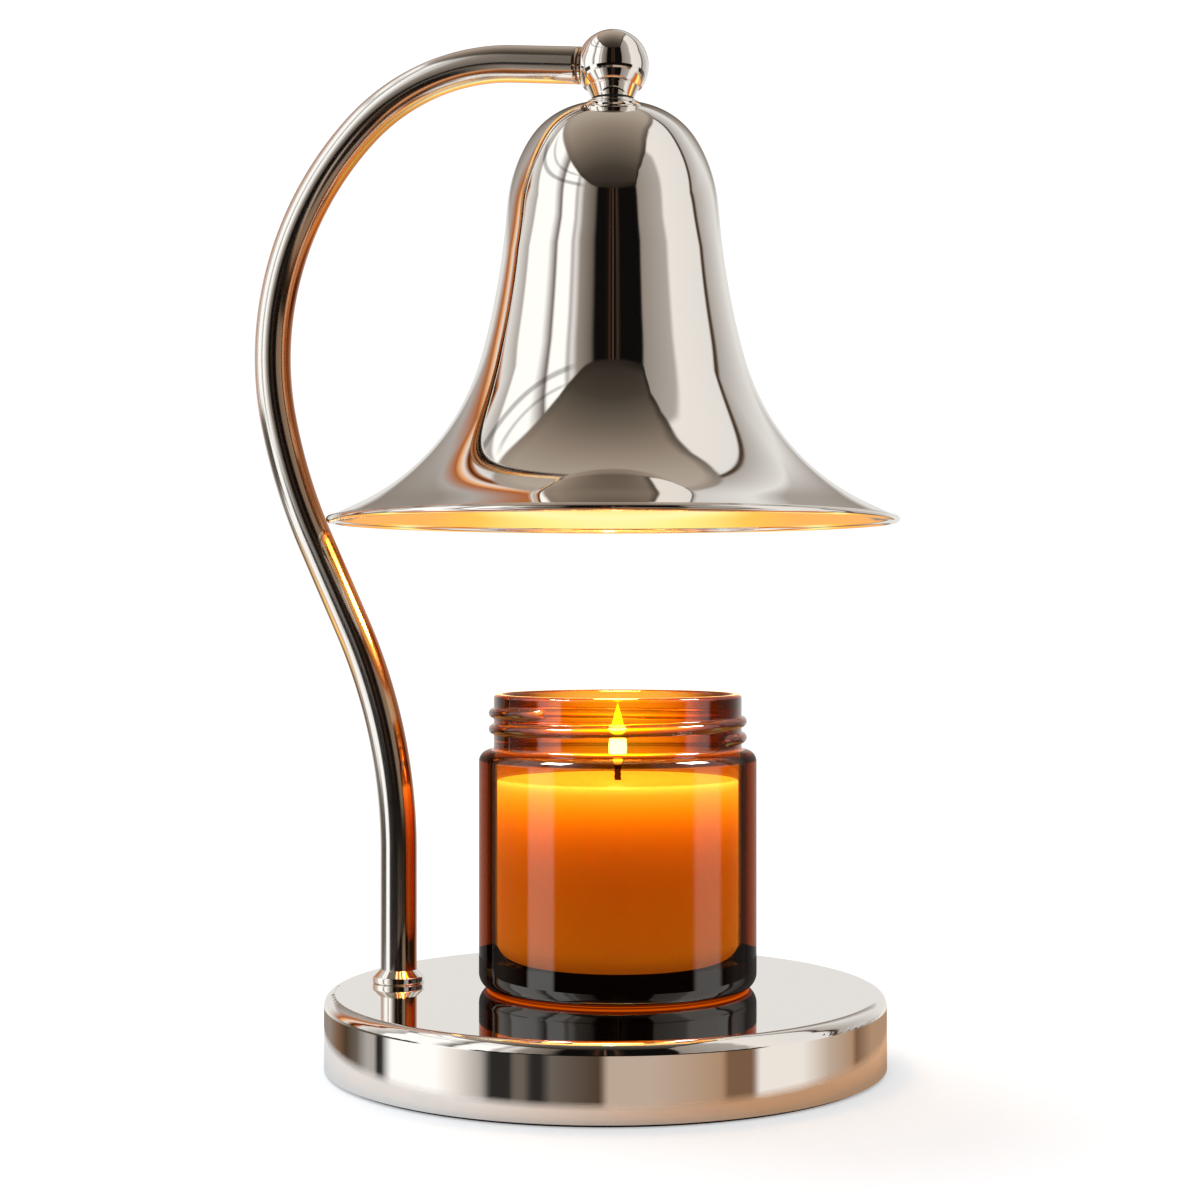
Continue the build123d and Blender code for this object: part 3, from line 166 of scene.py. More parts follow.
world = bpy.data.worlds.new("studio")
bpy.context.scene.world = world
world.use_nodes = True
world.cycles.sampling_method = "NONE"
tree = world.node_tree
tree.nodes.clear()
away = add(tree, "ShaderNodeSeparateXYZ", {0: add(tree, "ShaderNodeMapping", {
    "Vector": add(tree, "ShaderNodeTexCoord").outputs["Generated"],
    "Rotation": (0, 0, -FACING)}, vector_type="POINT").outputs[0]})
front = add(tree, "ShaderNodeMath", {0: away.outputs["Y"], 1: -1.0}, operation="MULTIPLY")
angle = add(tree, "ShaderNodeMath", {0: away.outputs["X"], 1: front.outputs[0]},
            operation="ARCTAN2")
turns = add(tree, "ShaderNodeMapRange", {"Value": angle.outputs[0], "From Min": -math.pi,
                                         "From Max": math.pi, "To Min": -0.5, "To Max": 0.5})
rise = add(tree, "ShaderNodeMath", {0: add(tree, "ShaderNodeMath", {0: away.outputs["Z"]},
           operation="ARCSINE").outputs[0], 1: 180 / math.pi}, operation="MULTIPLY").outputs[0]

# The window bars lean over towards the back as they rise.
lean = add(tree, "ShaderNodeMapRange", {"Value": rise, "From Min": LEAN_FROM,
                                        "From Max": LEAN_TO, "To Max": LEAN})
far = add(tree, "ShaderNodeMath", {0: turns.outputs[0]}, operation="ABSOLUTE")
squared = add(tree, "ShaderNodeMath", {0: turns.outputs[0], 1: far.outputs[0]},
              operation="MULTIPLY")
shift = add(tree, "ShaderNodeMath", {0: squared.outputs[0], 1: lean.outputs[0]},
            operation="MULTIPLY")
leant = add(tree, "ShaderNodeMath", {0: turns.outputs[0], 1: shift.outputs[0]},
            operation="SUBTRACT")
along = add(tree, "ShaderNodeMath", {0: leant.outputs[0], 1: 0.5}, operation="ADD").outputs[0]
plain = add(tree, "ShaderNodeMath", {0: turns.outputs[0], 1: 0.5}, operation="ADD").outputs[0]


def blend(low, high, edge):
    """One tone below a height in degrees, another above it."""
    share = add(tree, "ShaderNodeMapRange", {"Value": rise, "From Min": edge[0],
                                             "From Max": edge[1]})
    return add(tree, "ShaderNodeMix", {"Factor": share.outputs[0], "A": low, "B": high},
               data_type="RGBA").outputs[2]


# The lamp's pool of light, thrown back from below: dim in front, bright behind.
down = add(tree, "ShaderNodeMath", {0: away.outputs["Z"], 1: -1.0}, operation="MULTIPLY")
under = add(tree, "ShaderNodeMath", {0: down.outputs[0], 1: front.outputs[0]},
            operation="ARCTAN2")
pool = add(tree, "ShaderNodeValToRGB", {0: add(tree, "ShaderNodeMapRange", {
    "Value": under.outputs[0], "From Max": math.pi}).outputs[0]},
    [(0.0, "#8A7A6C"), (0.2, "#C88A5C"), (0.25, "#E0A070"), (0.3, "#8A4A1C"), (0.4, "#5A3A22"),
     (0.47, "#B65A14"), (0.6, "#E07A1C"), (0.67, "#FFF2A0"), (0.7, "#FFF8B4"), (0.72, "#FFF090"),
     (0.755, "#FFC858"), (0.8, "#FFB860"), (0.9, "#FFB468"), (0.96, "#F8AC74"), (1.0, "#E8A884")])
skirting = add(tree, "ShaderNodeValToRGB", {0: plain}, by_angle(SKIRTING)).outputs[0]
sill = add(tree, "ShaderNodeValToRGB", {0: plain}, by_angle(SILL)).outputs[0]
sides = add(tree, "ShaderNodeValToRGB", {0: along}, by_angle(ROOM)).outputs[0]
# Thin warm lines in the middle of the dark flag.
slits = add(tree, "ShaderNodeValToRGB", {0: add(tree, "ShaderNodeMapRange", {
    "Value": turns.outputs[0], "From Min": SLITS_LEFT / 360,
    "From Max": SLITS_RIGHT / 360}).outputs[0]},
    [(0.0, "#000000"), (0.2, "#0C0804"), (0.27, "#3A2214"), (0.36, "#100804"), (0.42, "#000000"),
     (0.45, "#6A5444"), (0.48, "#000000"), (0.6, "#0C0804"), (0.66, "#3E2C20"), (0.76, "#20140E"),
     (0.84, "#000000"), (1.0, "#000000")])
sides = add(tree, "ShaderNodeMix", {"Factor": 1.0, "A": sides, "B": slits.outputs[0]},
            data_type="RGBA", blend_type="ADD").outputs[2]
# Low down behind stands a pale screen, which the base's top shows.
far_back = add(tree, "ShaderNodeMapRange", {
    "Value": front.outputs[0], "From Min": SCREEN_SHARE[0], "From Max": SCREEN_SHARE[1]})
below = add(tree, "ShaderNodeMapRange", {"Value": rise, "From Min": SCREEN_EDGE[0],
                                         "From Max": SCREEN_EDGE[1]})
screen = add(tree, "ShaderNodeMath", {0: far_back.outputs[0], 1: below.outputs[0]},
             operation="MULTIPLY")
sides = add(tree, "ShaderNodeMix", {"Factor": screen.outputs[0], "A": sides, "B": linear(PALE)},
            data_type="RGBA").outputs[2]
# In front the room's bars reach further down, to the pool's edge.
facing = add(tree, "ShaderNodeMapRange", {"Value": front.outputs[0], "From Max": AHEAD_SHARE})
above = add(tree, "ShaderNodeMapRange", {"Value": rise, "From Min": AHEAD_EDGE[0],
                                         "From Max": AHEAD_EDGE[1]})
ahead = add(tree, "ShaderNodeMath", {0: facing.outputs[0], 1: above.outputs[0]},
            operation="MULTIPLY")
low_down = add(tree, "ShaderNodeMix", {"Factor": ahead.outputs[0], "A": pool.outputs[0],
                                       "B": sides}, data_type="RGBA").outputs[2]
room = blend(blend(low_down, skirting, POOL_EDGE), sill, SKIRTING_EDGE)
room = blend(room, sides, SILL_EDGE)
ceiling = add(tree, "ShaderNodeValToRGB", {0: add(tree, "ShaderNodeMapRange", {
    "Value": front.outputs[0], "From Min": CEILING_SHARE[0],
    "From Max": CEILING_SHARE[1]}).outputs[0]},
    [(0.0, "#2E2721"), (0.2, "#443D35"), (0.4, "#685E53"), (0.6, "#8A7D70"), (0.8, "#A3978A"),
     (1.0, "#B1A599")])
cornice = add(tree, "ShaderNodeValToRGB", {0: plain}, by_angle(CORNICE, 1 / 90), "B_SPLINE")
wall_top = add(tree, "ShaderNodeMath", {0: cornice.outputs[0], 1: 90.0}, operation="MULTIPLY")
over = add(tree, "ShaderNodeMath", {0: rise, 1: wall_top.outputs[0]}, operation="SUBTRACT")
coving = add(tree, "ShaderNodeValToRGB", {0: add(tree, "ShaderNodeMapRange", {
    "Value": over.outputs[0], "From Max": COVING_H}).outputs[0]},
    [(0.0, 0.25), (0.3, 0.35), (0.75, 1.0), (1.0, 1.0)])
right = add(tree, "ShaderNodeMapRange", {"Value": away.outputs["X"], "From Min": RIGHT_SHARE[0],
                                         "From Max": RIGHT_SHARE[1], "To Min": 0.25})
roof = add(tree, "ShaderNodeMix", {"Factor": right.outputs[0], "A": ceiling.outputs[0],
                                   "B": coving.outputs[0]}, data_type="RGBA",
           blend_type="MULTIPLY")
# Two glazing bars cross the windows on the left.
glazing = add(tree, "ShaderNodeValToRGB", {0: add(tree, "ShaderNodeMapRange", {
    "Value": rise, "From Min": GLAZING_LOW, "From Max": GLAZING_TOP}).outputs[0]},
    [(0.0, 1.0), (0.25, 1.0), (0.3, 0.5), (0.37, 0.5), (0.42, 1.0), (0.62, 1.0), (0.66, 0.6),
     (0.7, 0.6), (0.74, 1.0), (1.0, 1.0)])
left = add(tree, "ShaderNodeMapRange", {"Value": away.outputs["X"], "From Min": LEFT_SHARE[0],
                                        "From Max": LEFT_SHARE[1]})
crossed = add(tree, "ShaderNodeMix", {"Factor": 1.0, "A": room, "B": glazing.outputs[0]},
              data_type="RGBA", blend_type="MULTIPLY")
barred = add(tree, "ShaderNodeMix", {"Factor": left.outputs[0], "A": room,
                                     "B": crossed.outputs[2]}, data_type="RGBA")
roofed = add(tree, "ShaderNodeMapRange", {"Value": over.outputs[0], "From Min": -CORNICE_EDGE,
                                          "From Max": CORNICE_EDGE})
studio = add(tree, "ShaderNodeMix", {"Factor": roofed.outputs[0], "A": barred.outputs[2],
                                     "B": roof.outputs[2]}, data_type="RGBA")
# Straight behind, clear glass shows the same white as the open background.
path = add(tree, "ShaderNodeLightPath")
backdrop = add(tree, "ShaderNodeMapRange", {
    "Value": front.outputs[0], "From Min": BACKDROP_SHARE[0], "From Max": BACKDROP_SHARE[1]})
behind = add(tree, "ShaderNodeMath", {0: path.outputs["Is Transmission Ray"],
                                      1: backdrop.outputs[0]}, operation="MULTIPLY")
open_air = add(tree, "ShaderNodeMath", {0: path.outputs["Is Camera Ray"], 1: behind.outputs[0]},
               operation="MAXIMUM")
mirrored = add(tree, "ShaderNodeMix", {"Factor": open_air.outputs[0], "A": studio.outputs[2],
                                       "B": (1, 1, 1, 1)}, data_type="RGBA")
seen = add(tree, "ShaderNodeMix", {"Factor": path.outputs["Is Diffuse Ray"],
                                   "A": mirrored.outputs[2], "B": linear(ROOM_FILL)},
           data_type="RGBA")
shine = add(tree, "ShaderNodeBackground", {"Color": seen.outputs[2], "Strength": ROOM_LIGHT})
add(tree, "ShaderNodeOutputWorld", {"Surface": shine.outputs[0]})

# ---------------------------------------------------------------- lamps

KEY_TO, KEY_SPREAD = (0.5, -0.42, -1.0), 35
HEAD_X, EMBER_Z, BULB_Z = 0.002, 0.19, 0.165
# Where the two windows stand, in degrees from the front, and what they are aimed at.
WINDOW_SIDES, WINDOW_RISE, WINDOW_SIZE = (-63, 80), 55, (0.34, 0.75)
SHOULDER = (0.0024, 0.005, 0.08)


def lamp(name, kind, power, code="#FFFFFF", place=(0, 0, 0)):
    """A lamp of one kind, power, colour and place."""
    item = bpy.data.objects.new(name, bpy.data.lights.new(name, kind))
    bpy.context.collection.objects.link(item)
    item.location = place
    item.data.energy = power
    item.data.color = linear(code)[:3]
    return item


# A soft lamp behind on the left throws the shadow forward to the right.
key = lamp("key_lamp", "SUN", 0.9)
key.data.angle = math.radians(KEY_SPREAD)
key.rotation_euler = Vector(KEY_TO).to_track_quat("-Z", "Y").to_euler()
key.visible_glossy = False

# The bulb's warm light as the arm's inner side shows it: it reaches the arm alone.
ember = lamp("ember_lamp", "POINT", 0.16, "#FF7012", (HEAD_X, 0, EMBER_Z))
ember.data.shadow_soft_size = 0.016
ember.data.use_shadow = False

# The bulb's own light on the candle below it and on the arm.
bulb_lamp = lamp("bulb_lamp", "POINT", 0.8, "#FFC070", (HEAD_X, 0, BULB_Z))
bulb_lamp.data.shadow_soft_size = 0.015

# Two tall windows a metre off, which only the jar's glass shows, in the curve of its shoulder.
windows = []
climb = math.radians(WINDOW_RISE)
for side in WINDOW_SIDES:
    toward = math.radians(side) + FACING
    away_from = Vector((math.sin(toward) * math.cos(climb), -math.cos(toward) * math.cos(climb),
                        math.sin(climb)))
    window = lamp("window", "AREA", 40.0, place=Vector(SHOULDER) + away_from)
    window.rotation_euler = away_from.to_track_quat("Z", "Y").to_euler()
    window.data.shape = "RECTANGLE"
    window.data.size, window.data.size_y = WINDOW_SIZE
    window.visible_diffuse = window.visible_transmission = False
    windows.append(window)


def reaches_only(name, lamps, items):
    """These lamps light nothing but these pieces."""
    lit = bpy.data.collections.new(name)
    for item in items:
        lit.objects.link(item)
    for one in lamps:
        one.light_linking.receiver_collection = lit


# ---------------------------------------------------------------- table

# Matt white table top: a plain, even surface that takes the soft shadow, lifted to white where
# the camera sees it bare. Mirrors see it only close to the base.
FLOOR = 6
# How far from the base's centre mirrors see it, and where painted warm light tints it to the right.
SEEN_TO, GONE_BY = 0.093, 0.103
WARM_FROM, WARM_BY = -0.035, 0.06
floor_mesh = bpy.data.meshes.new("floor")
corners = [(x * FLOOR, y * FLOOR, 0) for x, y in ((-1, -1), (1, -1), (1, 1), (-1, 1))]
floor_mesh.from_pydata(corners, [], [(0, 1, 2, 3)])
floor = bpy.data.objects.new("floor", floor_mesh)
bpy.context.collection.objects.link(floor)
tree = finish("pale_table")
path = add(tree, "ShaderNodeLightPath")
spot = add(tree, "ShaderNodeVectorMath", {0: add(tree, "ShaderNodeTexCoord").outputs["Object"]},
           operation="LENGTH").outputs["Value"]
rightward = add(tree, "ShaderNodeMapRange", {"Value": along_axis(tree, "X"),
                                             "From Min": WARM_FROM, "From Max": WARM_BY})
# Painted warm light: mirrors see the table turn warm towards the right, the glow of the lamp painted
# on.
painted_warm_share = add(tree, "ShaderNodeMath", {0: path.outputs["Is Glossy Ray"],
                                         1: rightward.outputs[0]}, operation="MULTIPLY")
table_and_warm_light = add(tree, "ShaderNodeMix", {"Factor": painted_warm_share.outputs[0], "A": linear("#E6EBF0"),
                                    "B": linear("#D8B494")}, data_type="RGBA")
paint = add(tree, "ShaderNodeBsdfDiffuse", {"Color": table_and_warm_light.outputs[2]})
lift = add(tree, "ShaderNodeEmission", {"Strength": 0.34})
bare = add(tree, "ShaderNodeAddShader", {0: paint.outputs[0], 1: lift.outputs[0]})
top = add(tree, "ShaderNodeMixShader", {0: path.outputs["Is Camera Ray"], 1: paint.outputs[0],
                                        2: bare.outputs[0]})
outside = add(tree, "ShaderNodeMapRange", {"Value": spot, "From Min": SEEN_TO,
                                           "From Max": GONE_BY})
beyond = add(tree, "ShaderNodeMath", {0: path.outputs["Is Glossy Ray"],
                                      1: outside.outputs[0]}, operation="MULTIPLY")
open_side = add(tree, "ShaderNodeBsdfTransparent")
cut = add(tree, "ShaderNodeMixShader", {0: beyond.outputs[0], 1: top.outputs[0],
                                        2: open_side.outputs[0]})
add(tree, "ShaderNodeOutputMaterial", {"Surface": cut.outputs[0]})
floor_mesh.materials.append(made["pale_table"])

# ---------------------------------------------------------------- finishes


def metal(name, code, roughness, grain=0.0, grain_mm=0.4, stretch=(1, 1, 1), bump_um=0.0):
    """Plated or bare metal: one colour, with a roughness and a bump that vary with its grain."""
    tree = finish(name)
    place = add(tree, "ShaderNodeMapping", {
        "Vector": add(tree, "ShaderNodeTexCoord").outputs["Object"], "Scale": stretch})
    marks = add(tree, "ShaderNodeTexNoise", {"Vector": place.outputs[0],
                                             "Scale": 1 / (grain_mm * MM), "Detail": 4.0})
    shine = add(tree, "ShaderNodeMapRange", {"Value": marks.outputs["Fac"], "From Min": 0.3,
                                             "From Max": 0.7, "To Min": roughness,
                                             "To Max": roughness + grain})
    skin = add(tree, "ShaderNodeBsdfPrincipled", {
        "Base Color": linear(code), "Metallic": 1.0, "Roughness": shine.outputs[0],
        "Normal": add(tree, "ShaderNodeBump", {"Height": marks.outputs["Fac"], "Strength": 1.0,
                                               "Distance": bump_um * UM}).outputs[0]})
    add(tree, "ShaderNodeOutputMaterial", {"Surface": skin.outputs[0]})
    return skin


# Polished nickel mirrors the room sharply, a little warmer than chrome, with faint polishing waves.
metal("mirror_nickel", "#FAF7F3", 0.02, 0.03, 6.0, bump_um=1.0)
# The bell is the same nickel over spun brass: its crown turns up a little more than its outline.
CROWN_LOW, CROWN_TOP, CROWN_TURN = 0.216, 0.264, -0.0085
skin = metal("spun_nickel", "#FAF7F3", 0.02, 0.03, 6.0, bump_um=1.0)
tree = skin.id_data
crown = add(tree, "ShaderNodeMapRange", {"Value": along_axis(tree, "Z"), "From Min": CROWN_LOW,
                                         "From Max": CROWN_TOP, "To Max": CROWN_TURN},
            interpolation_type="SMOOTHSTEP")
bowl = skin.inputs["Normal"].links[0].from_node
tree.links.new(add(tree, "ShaderNodeBump", {"Height": crown.outputs[0], "Distance": 1.0,
                                            "Normal": bowl.outputs[0]}).outputs[0],
               skin.inputs["Normal"])
# Drawn nickel tube and turned fittings: softer mirrors with fine lines along the drawing.
metal("satin_nickel", "#F2EEE8", 0.1, 0.05, 0.5, stretch=(1, 1, 0.05), bump_um=0.3)
# The arm is drawn nickel too; its side facing the shade gets a painted reflection and warm light.
skin = metal("arm_nickel", "#F5F1EC", 0.13, 0.01, 3.0, bump_um=0.5)
tree = skin.id_data
facing_shade = add(tree, "ShaderNodeSeparateXYZ", {
    0: add(tree, "ShaderNodeNewGeometry").outputs["Normal"]}).outputs["X"]
# Painted reflection and light: tan, then orange, on the side that faces the shade.
tree.links.new(add(tree, "ShaderNodeValToRGB", {0: facing_shade}, [
    (0.0, "#F8F5F1"), (0.3, "#F5F1EC"), (0.52, "#D0B69C"), (0.75, "#C09E7C"), (0.9, "#C47A40"),
    (0.97, "#9A4A14"), (1.0, "#B06A30")]).outputs[0], skin.inputs["Base Color"])
# Zinc-plated steel screws and nuts: a cool, blurred shine.
metal("zinc_steel", "#C2C4C6", 0.28, 0.15, 0.5, bump_um=2.0)
# Turned brass nipples and terminals: a yellow shine under fine tool marks.
metal("brass", "#D9B36A", 0.2, 0.12, 0.4, bump_um=1.0)
# Tin-plated sheet: pale and slightly clouded.
metal("tin_plate", "#C9C9C8", 0.25, 0.1, 0.6, bump_um=1.0)
# Aluminium coat in the bulb's dimpled glass bowl: bright, broken into soft facets.
metal("reflector_coat", "#E9E5DD", 0.12, 0.1, 3.0, bump_um=40.0)


def solid(name, code, roughness, grain_mm, bump_um, spread=0.08):
    """Moulded, fired, cast or foamed material: its own colour with a fine mottle and grain."""
    tree = finish(name)
    marks = add(tree, "ShaderNodeTexNoise", {
        "Vector": add(tree, "ShaderNodeTexCoord").outputs["Object"],
        "Scale": 1 / (grain_mm * MM), "Detail": 5.0})
    shade = add(tree, "ShaderNodeMix", {"Factor": marks.outputs["Fac"], "A": [
        c * (1 - spread) for c in linear(code)[:3]] + [1.0], "B": linear(code)}, data_type="RGBA")
    skin = add(tree, "ShaderNodeBsdfPrincipled", {
        "Base Color": shade.outputs[2], "Roughness": roughness,
        "Normal": add(tree, "ShaderNodeBump", {"Height": marks.outputs["Fac"],
                                               "Distance": bump_um * UM}).outputs[0]})
    add(tree, "ShaderNodeOutputMaterial", {"Surface": skin.outputs[0]})


# Cast iron weight under black paint: dull, with the sand's grain.
solid("cast_weight", "#2B2B2B", 0.6, 1.2, 120.0, 0.4)
# Foam rubber pad: dark and shineless, with open cells.
solid("foam_pad", "#161616", 0.95, 0.5, 80.0, 0.5)
# Moulded nylon: a low, even sheen.
solid("black_nylon", "#1B1B1B", 0.45, 0.4, 10.0)
solid("white_nylon", "#E6E3DC", 0.4, 0.4, 8.0)
# Silicone sleeve on the leads: off-white and soft-looking.
solid("lead_sheath", "#EAE6DC", 0.5, 0.4, 8.0)
# Fired steatite: chalky, faintly speckled.
solid("lamp_ceramic", "#EFEAE0", 0.55, 0.5, 15.0)
# Charred cotton wick: brown, matt and fibrous.
solid("cotton", "#4A2E1A", 0.9, 0.3, 60.0, 0.5)

BULB_GLOW = "#FFC060"
# Clear glass of the bulb, glowing with the light that passes through it.
tree = finish("clear_glass")
glass = add(tree, "ShaderNodeBsdfPrincipled", {
    "Base Color": linear("#FFF3DC"), "Roughness": 0.05, "IOR": 1.45, "Transmission Weight": 1.0,
    "Emission Color": linear(BULB_GLOW), "Emission Strength": 3.0})
add(tree, "ShaderNodeOutputMaterial", {"Surface": glass.outputs[0]})

# Tungsten at work: grey metal that glows yellow-white.
tree = finish("tungsten")
wire = add(tree, "ShaderNodeBsdfPrincipled", {
    "Base Color": linear("#8C8A86"), "Metallic": 1.0, "Roughness": 0.3,
    "Emission Color": linear(BULB_GLOW), "Emission Strength": 30.0})
add(tree, "ShaderNodeOutputMaterial", {"Surface": wire.outputs[0]})


# The glass shines less where it is seen edge-on. A level ramp changes nothing.
DULL_EDGE = [(0.0, 1.0), (0.45, 1.0), (0.62, 0.12), (1.0, 0.1)]
LEVEL = [(0.0, 1.0), (1.0, 1.0)]


def amber(name, bend, tones, lean, coat_bend=1.7, glow=None, crest=None):
    """Moulded amber soda glass: its tint and its shine go from face-on to edge-on.

    The lean paints shade where it faces up or down. The glow is painted light, the warm light inside
    the glass put on as emission, and the crest the painted highlights that its ridges catch of it."""
    tree = finish(name)
    edge_on = add(tree, "ShaderNodeLayerWeight", {"Blend": 0.5}).outputs["Facing"]
    tilt = add(tree, "ShaderNodeMapRange", {"Value": add(tree, "ShaderNodeSeparateXYZ", {
        0: add(tree, "ShaderNodeNewGeometry").outputs["Normal"]}).outputs["Z"],
        "From Min": -1.0}).outputs[0]

    def both(first, second):
        """The product of one ramp over the edge-on share and one over the tilt."""
        return add(tree, "ShaderNodeMix", {
            "Factor": 1.0, "A": add(tree, "ShaderNodeValToRGB", {0: edge_on}, first).outputs[0],
            "B": add(tree, "ShaderNodeValToRGB", {0: tilt}, second).outputs[0]},
            data_type="RGBA", blend_type="MULTIPLY").outputs[2]

    glass = add(tree, "ShaderNodeBsdfPrincipled", {
        "Base Color": both(tones, lean), "Roughness": 0.02, "IOR": bend,
        "Transmission Weight": 1.0, "Coat Weight": add(tree, "ShaderNodeValToRGB", {
            0: edge_on}, DULL_EDGE).outputs[0], "Coat IOR": coat_bend, "Coat Roughness": 0.02})
    if glow:
        glass.inputs["Emission Strength"].default_value = 3.5
        tree.links.new(both(glow, crest), glass.inputs["Emission Color"])
    add(tree, "ShaderNodeOutputMaterial", {"Surface": glass.outputs[0]})
    return glass


# The thick wall shows the wax clearly in front and turns dark brown at its sides, lighter at the
# very edge with a painted reflection. Painted shade darkens the curve of its shoulder.
amber("amber_glass", 1.02, [
    (0.0, "#CD7C19"), (0.495, "#CD7C19"), (0.515, "#3A1204"), (0.56, "#260C03"), (0.59, "#3A1002"),
    (0.61, "#621E02"), (0.68, "#70280A"), (0.74, "#7C3414"), (0.8, "#86442C"), (0.88, "#8A5546"),
    (1.0, "#A07468")], [(0.0, 1.0), (0.53, 1.0), (0.57, 0.12), (0.6, 0.02), (0.78, 0.03),
                        (0.86, 0.3), (0.95, 0.9), (1.0, 1.0)], 1.66)
# Inside faces add no tint where the wax touches them, and a little of it above the wax.
WAX_LOW, WAX_TOP = 0.027, 0.0762
plain_inside = amber("amber_glass_inside", 1.02, LEVEL, LEVEL, 1.02)
tree = plain_inside.id_data
bare_wall = add(tree, "ShaderNodeMapRange", {"Value": along_axis(tree, "Z"), "From Min": WAX_TOP,
                                             "From Max": WAX_TOP + 0.4 * MM})
tree.links.new(add(tree, "ShaderNodeMix", {"Factor": bare_wall.outputs[0], "A": (1, 1, 1, 1),
                                           "B": linear("#F0B468")}, data_type="RGBA").outputs[2],
               plain_inside.inputs["Base Color"])
# Painted light in the neck: the flame's glow in front, painted highlights in bright lines along
# its ridges, and painted shade where it faces down.
amber("amber_glass_neck", 1.25, [
    (0.0, "#F0A428"), (0.1, "#D88418"), (0.2, "#9A4A08"), (0.26, "#582203"), (0.4, "#381302"),
    (0.5, "#200A01"), (0.63, "#341202"), (0.85, "#44200C"), (1.0, "#504030")],
    [(0.0, 0.3), (0.4, 0.5), (0.5, 1.0), (1.0, 1.0)], 1.7,
    [(0.0, "#FFDC30"), (0.02, "#FFC400"), (0.06, "#F09C00"), (0.15, "#C86000"), (0.22, "#7A2C00"),
     (0.3, "#200800"), (0.45, "#080000"), (1.0, "#080000")],
    [(0.0, "#200000"), (0.35, "#301000"), (0.5, "#3E3A34"), (0.6, "#A0B890"), (0.7, "#FFFFFF"),
     (1.0, "#FFFFFF")])
# Painted highlight: the lip's polished top shows the bulb's light as one thin yellow line.
amber("amber_glass_lip", 1.25, [
    (0.0, "#E88A20"), (0.3, "#8A3A08"), (0.5, "#5A1A02"), (0.7, "#802B04"), (1.0, "#A06040")],
    LEVEL, 1.7, [(0.0, "#F4B018"), (0.05, "#E08000"), (0.2, "#803000"), (0.4, "#200800"),
                 (0.9, "#201000"), (1.0, "#FFC840")],
    [(0.0, "#000000"), (0.5, "#404040"), (0.75, "#C0C0C0"), (1.0, "#FFFFFF")])
# The heavy foot is so thick that it looks nearly black, with a painted glow low down: one orange
# line.
foot_glass = amber("amber_glass_foot", 1.5, [(0.0, "#0A0301"), (1.0, "#1C0803")], LEVEL, 1.8,
                   LEVEL,
                   [(0.0, "#280400"), (0.04, "#7A2C00"), (0.08, "#180200"), (0.12, "#3A0C00"),
                    (0.16, "#000000"), (1.0, "#000000")])
foot_glass.inputs["Transmission Weight"].default_value = 0.0
foot_glass.inputs["Specular IOR Level"].default_value = 0.0
# Its shine leans by this slope, as a moulded foot's draft does.
FOOT_LEAN = -0.055
tree = foot_glass.id_data
draft = add(tree, "ShaderNodeMath", {0: along_axis(tree, "Z"), 1: FOOT_LEAN},
            operation="MULTIPLY")
leaning = add(tree, "ShaderNodeBump", {"Height": draft.outputs[0], "Distance": 1.0})
tree.links.new(leaning.outputs[0], foot_glass.inputs["Coat Normal"])

# Soy wax: light sinks in and comes back orange. A painted glow lights it, darker towards the bottom
# and brightest at its top, under the bulb that melts it.
tree = finish("wax")
depth = add(tree, "ShaderNodeMapRange", {"Value": along_axis(tree, "Z"), "From Min": WAX_LOW,
                                         "From Max": WAX_TOP})
# Painted glow: the wax's emission colour, by height.
glow = add(tree, "ShaderNodeValToRGB", {0: depth.outputs[0]},
           [(0.0, "#684016"), (0.076, "#663D12"), (0.345, "#663307"), (0.48, "#6A3105"),
            (0.547, "#713507"), (0.614, "#7E3D09"), (0.68, "#8E4707"), (0.748, "#A45908"),
            (0.815, "#B87408"), (0.882, "#C8941C"), (0.95, "#D2B24A"), (0.985, "#E0CC80"),
            (1.0, "#E4D090")])
soft = add(tree, "ShaderNodeBsdfPrincipled", {
    "Base Color": linear("#F2C684"), "Roughness": 0.4, "Subsurface Weight": 1.0,
    "Subsurface Radius": (0.012, 0.006, 0.002), "Subsurface Scale": 1.0,
    "Emission Color": glow.outputs[0], "Emission Strength": 2.0})
add(tree, "ShaderNodeOutputMaterial", {"Surface": soft.outputs[0]})

for name, item in nodes.items():
    item.data.materials.clear()
    item.data.materials.append(made[slot_of[name]])

# ---------------------------------------------------------------- outlines

# About how far a curved line turns at most between two of its points, in degrees.
FACET = 4


def trace(start, heading, runs, step):
    """Points of a tangent chain: (length,) is a straight run, (radius, turn) a bend, in degrees.

    The points are about a step apart, and closer together in a tight bend."""
    (across, up), heading = start, math.radians(heading)
    points = [(across, up)]
    for run in runs:
        turn = math.radians(run[1]) if len(run) == 2 else 0.0
        length = abs(run[0] * turn) if turn else run[0]
        count = max(1, round(length / step), round(math.degrees(abs(turn)) / FACET))
        for _ in range(count):
            heading += turn / count / 2
            chord = 2 * run[0] * math.sin(abs(turn) / count / 2) if turn else length / count
            across, up = across + chord * math.cos(heading), up + chord * math.sin(heading)
            heading += turn / count / 2
            points.append((across, up))
    return points


def eased(points, rounds):
    """The same line with its changes of curve softened, its ends kept."""
    for _ in range(rounds):
        points = points[:1] + [((a[0] + 2 * b[0] + c[0]) / 4, (a[1] + 2 * b[1] + c[1]) / 4)
                               for a, b, c in zip(points, points[1:], points[2:])] + points[-1:]
    return points


def piece(name, mesh, body, materials, *stands_for):
    """An object that rides on a body, in place of the solids that it shows."""
    for face in mesh.polygons:
        face.use_smooth = True
    item = bpy.data.objects.new(name, mesh)
    bpy.context.collection.objects.link(item)
    slots = [face.material_index for face in mesh.polygons]
    mesh.materials.clear()
    for material in materials:
        mesh.materials.append(material)
    mesh.polygons.foreach_set("material_index", slots)
    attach(item, body)
    if stands_for:
        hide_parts(*stands_for)
    return item


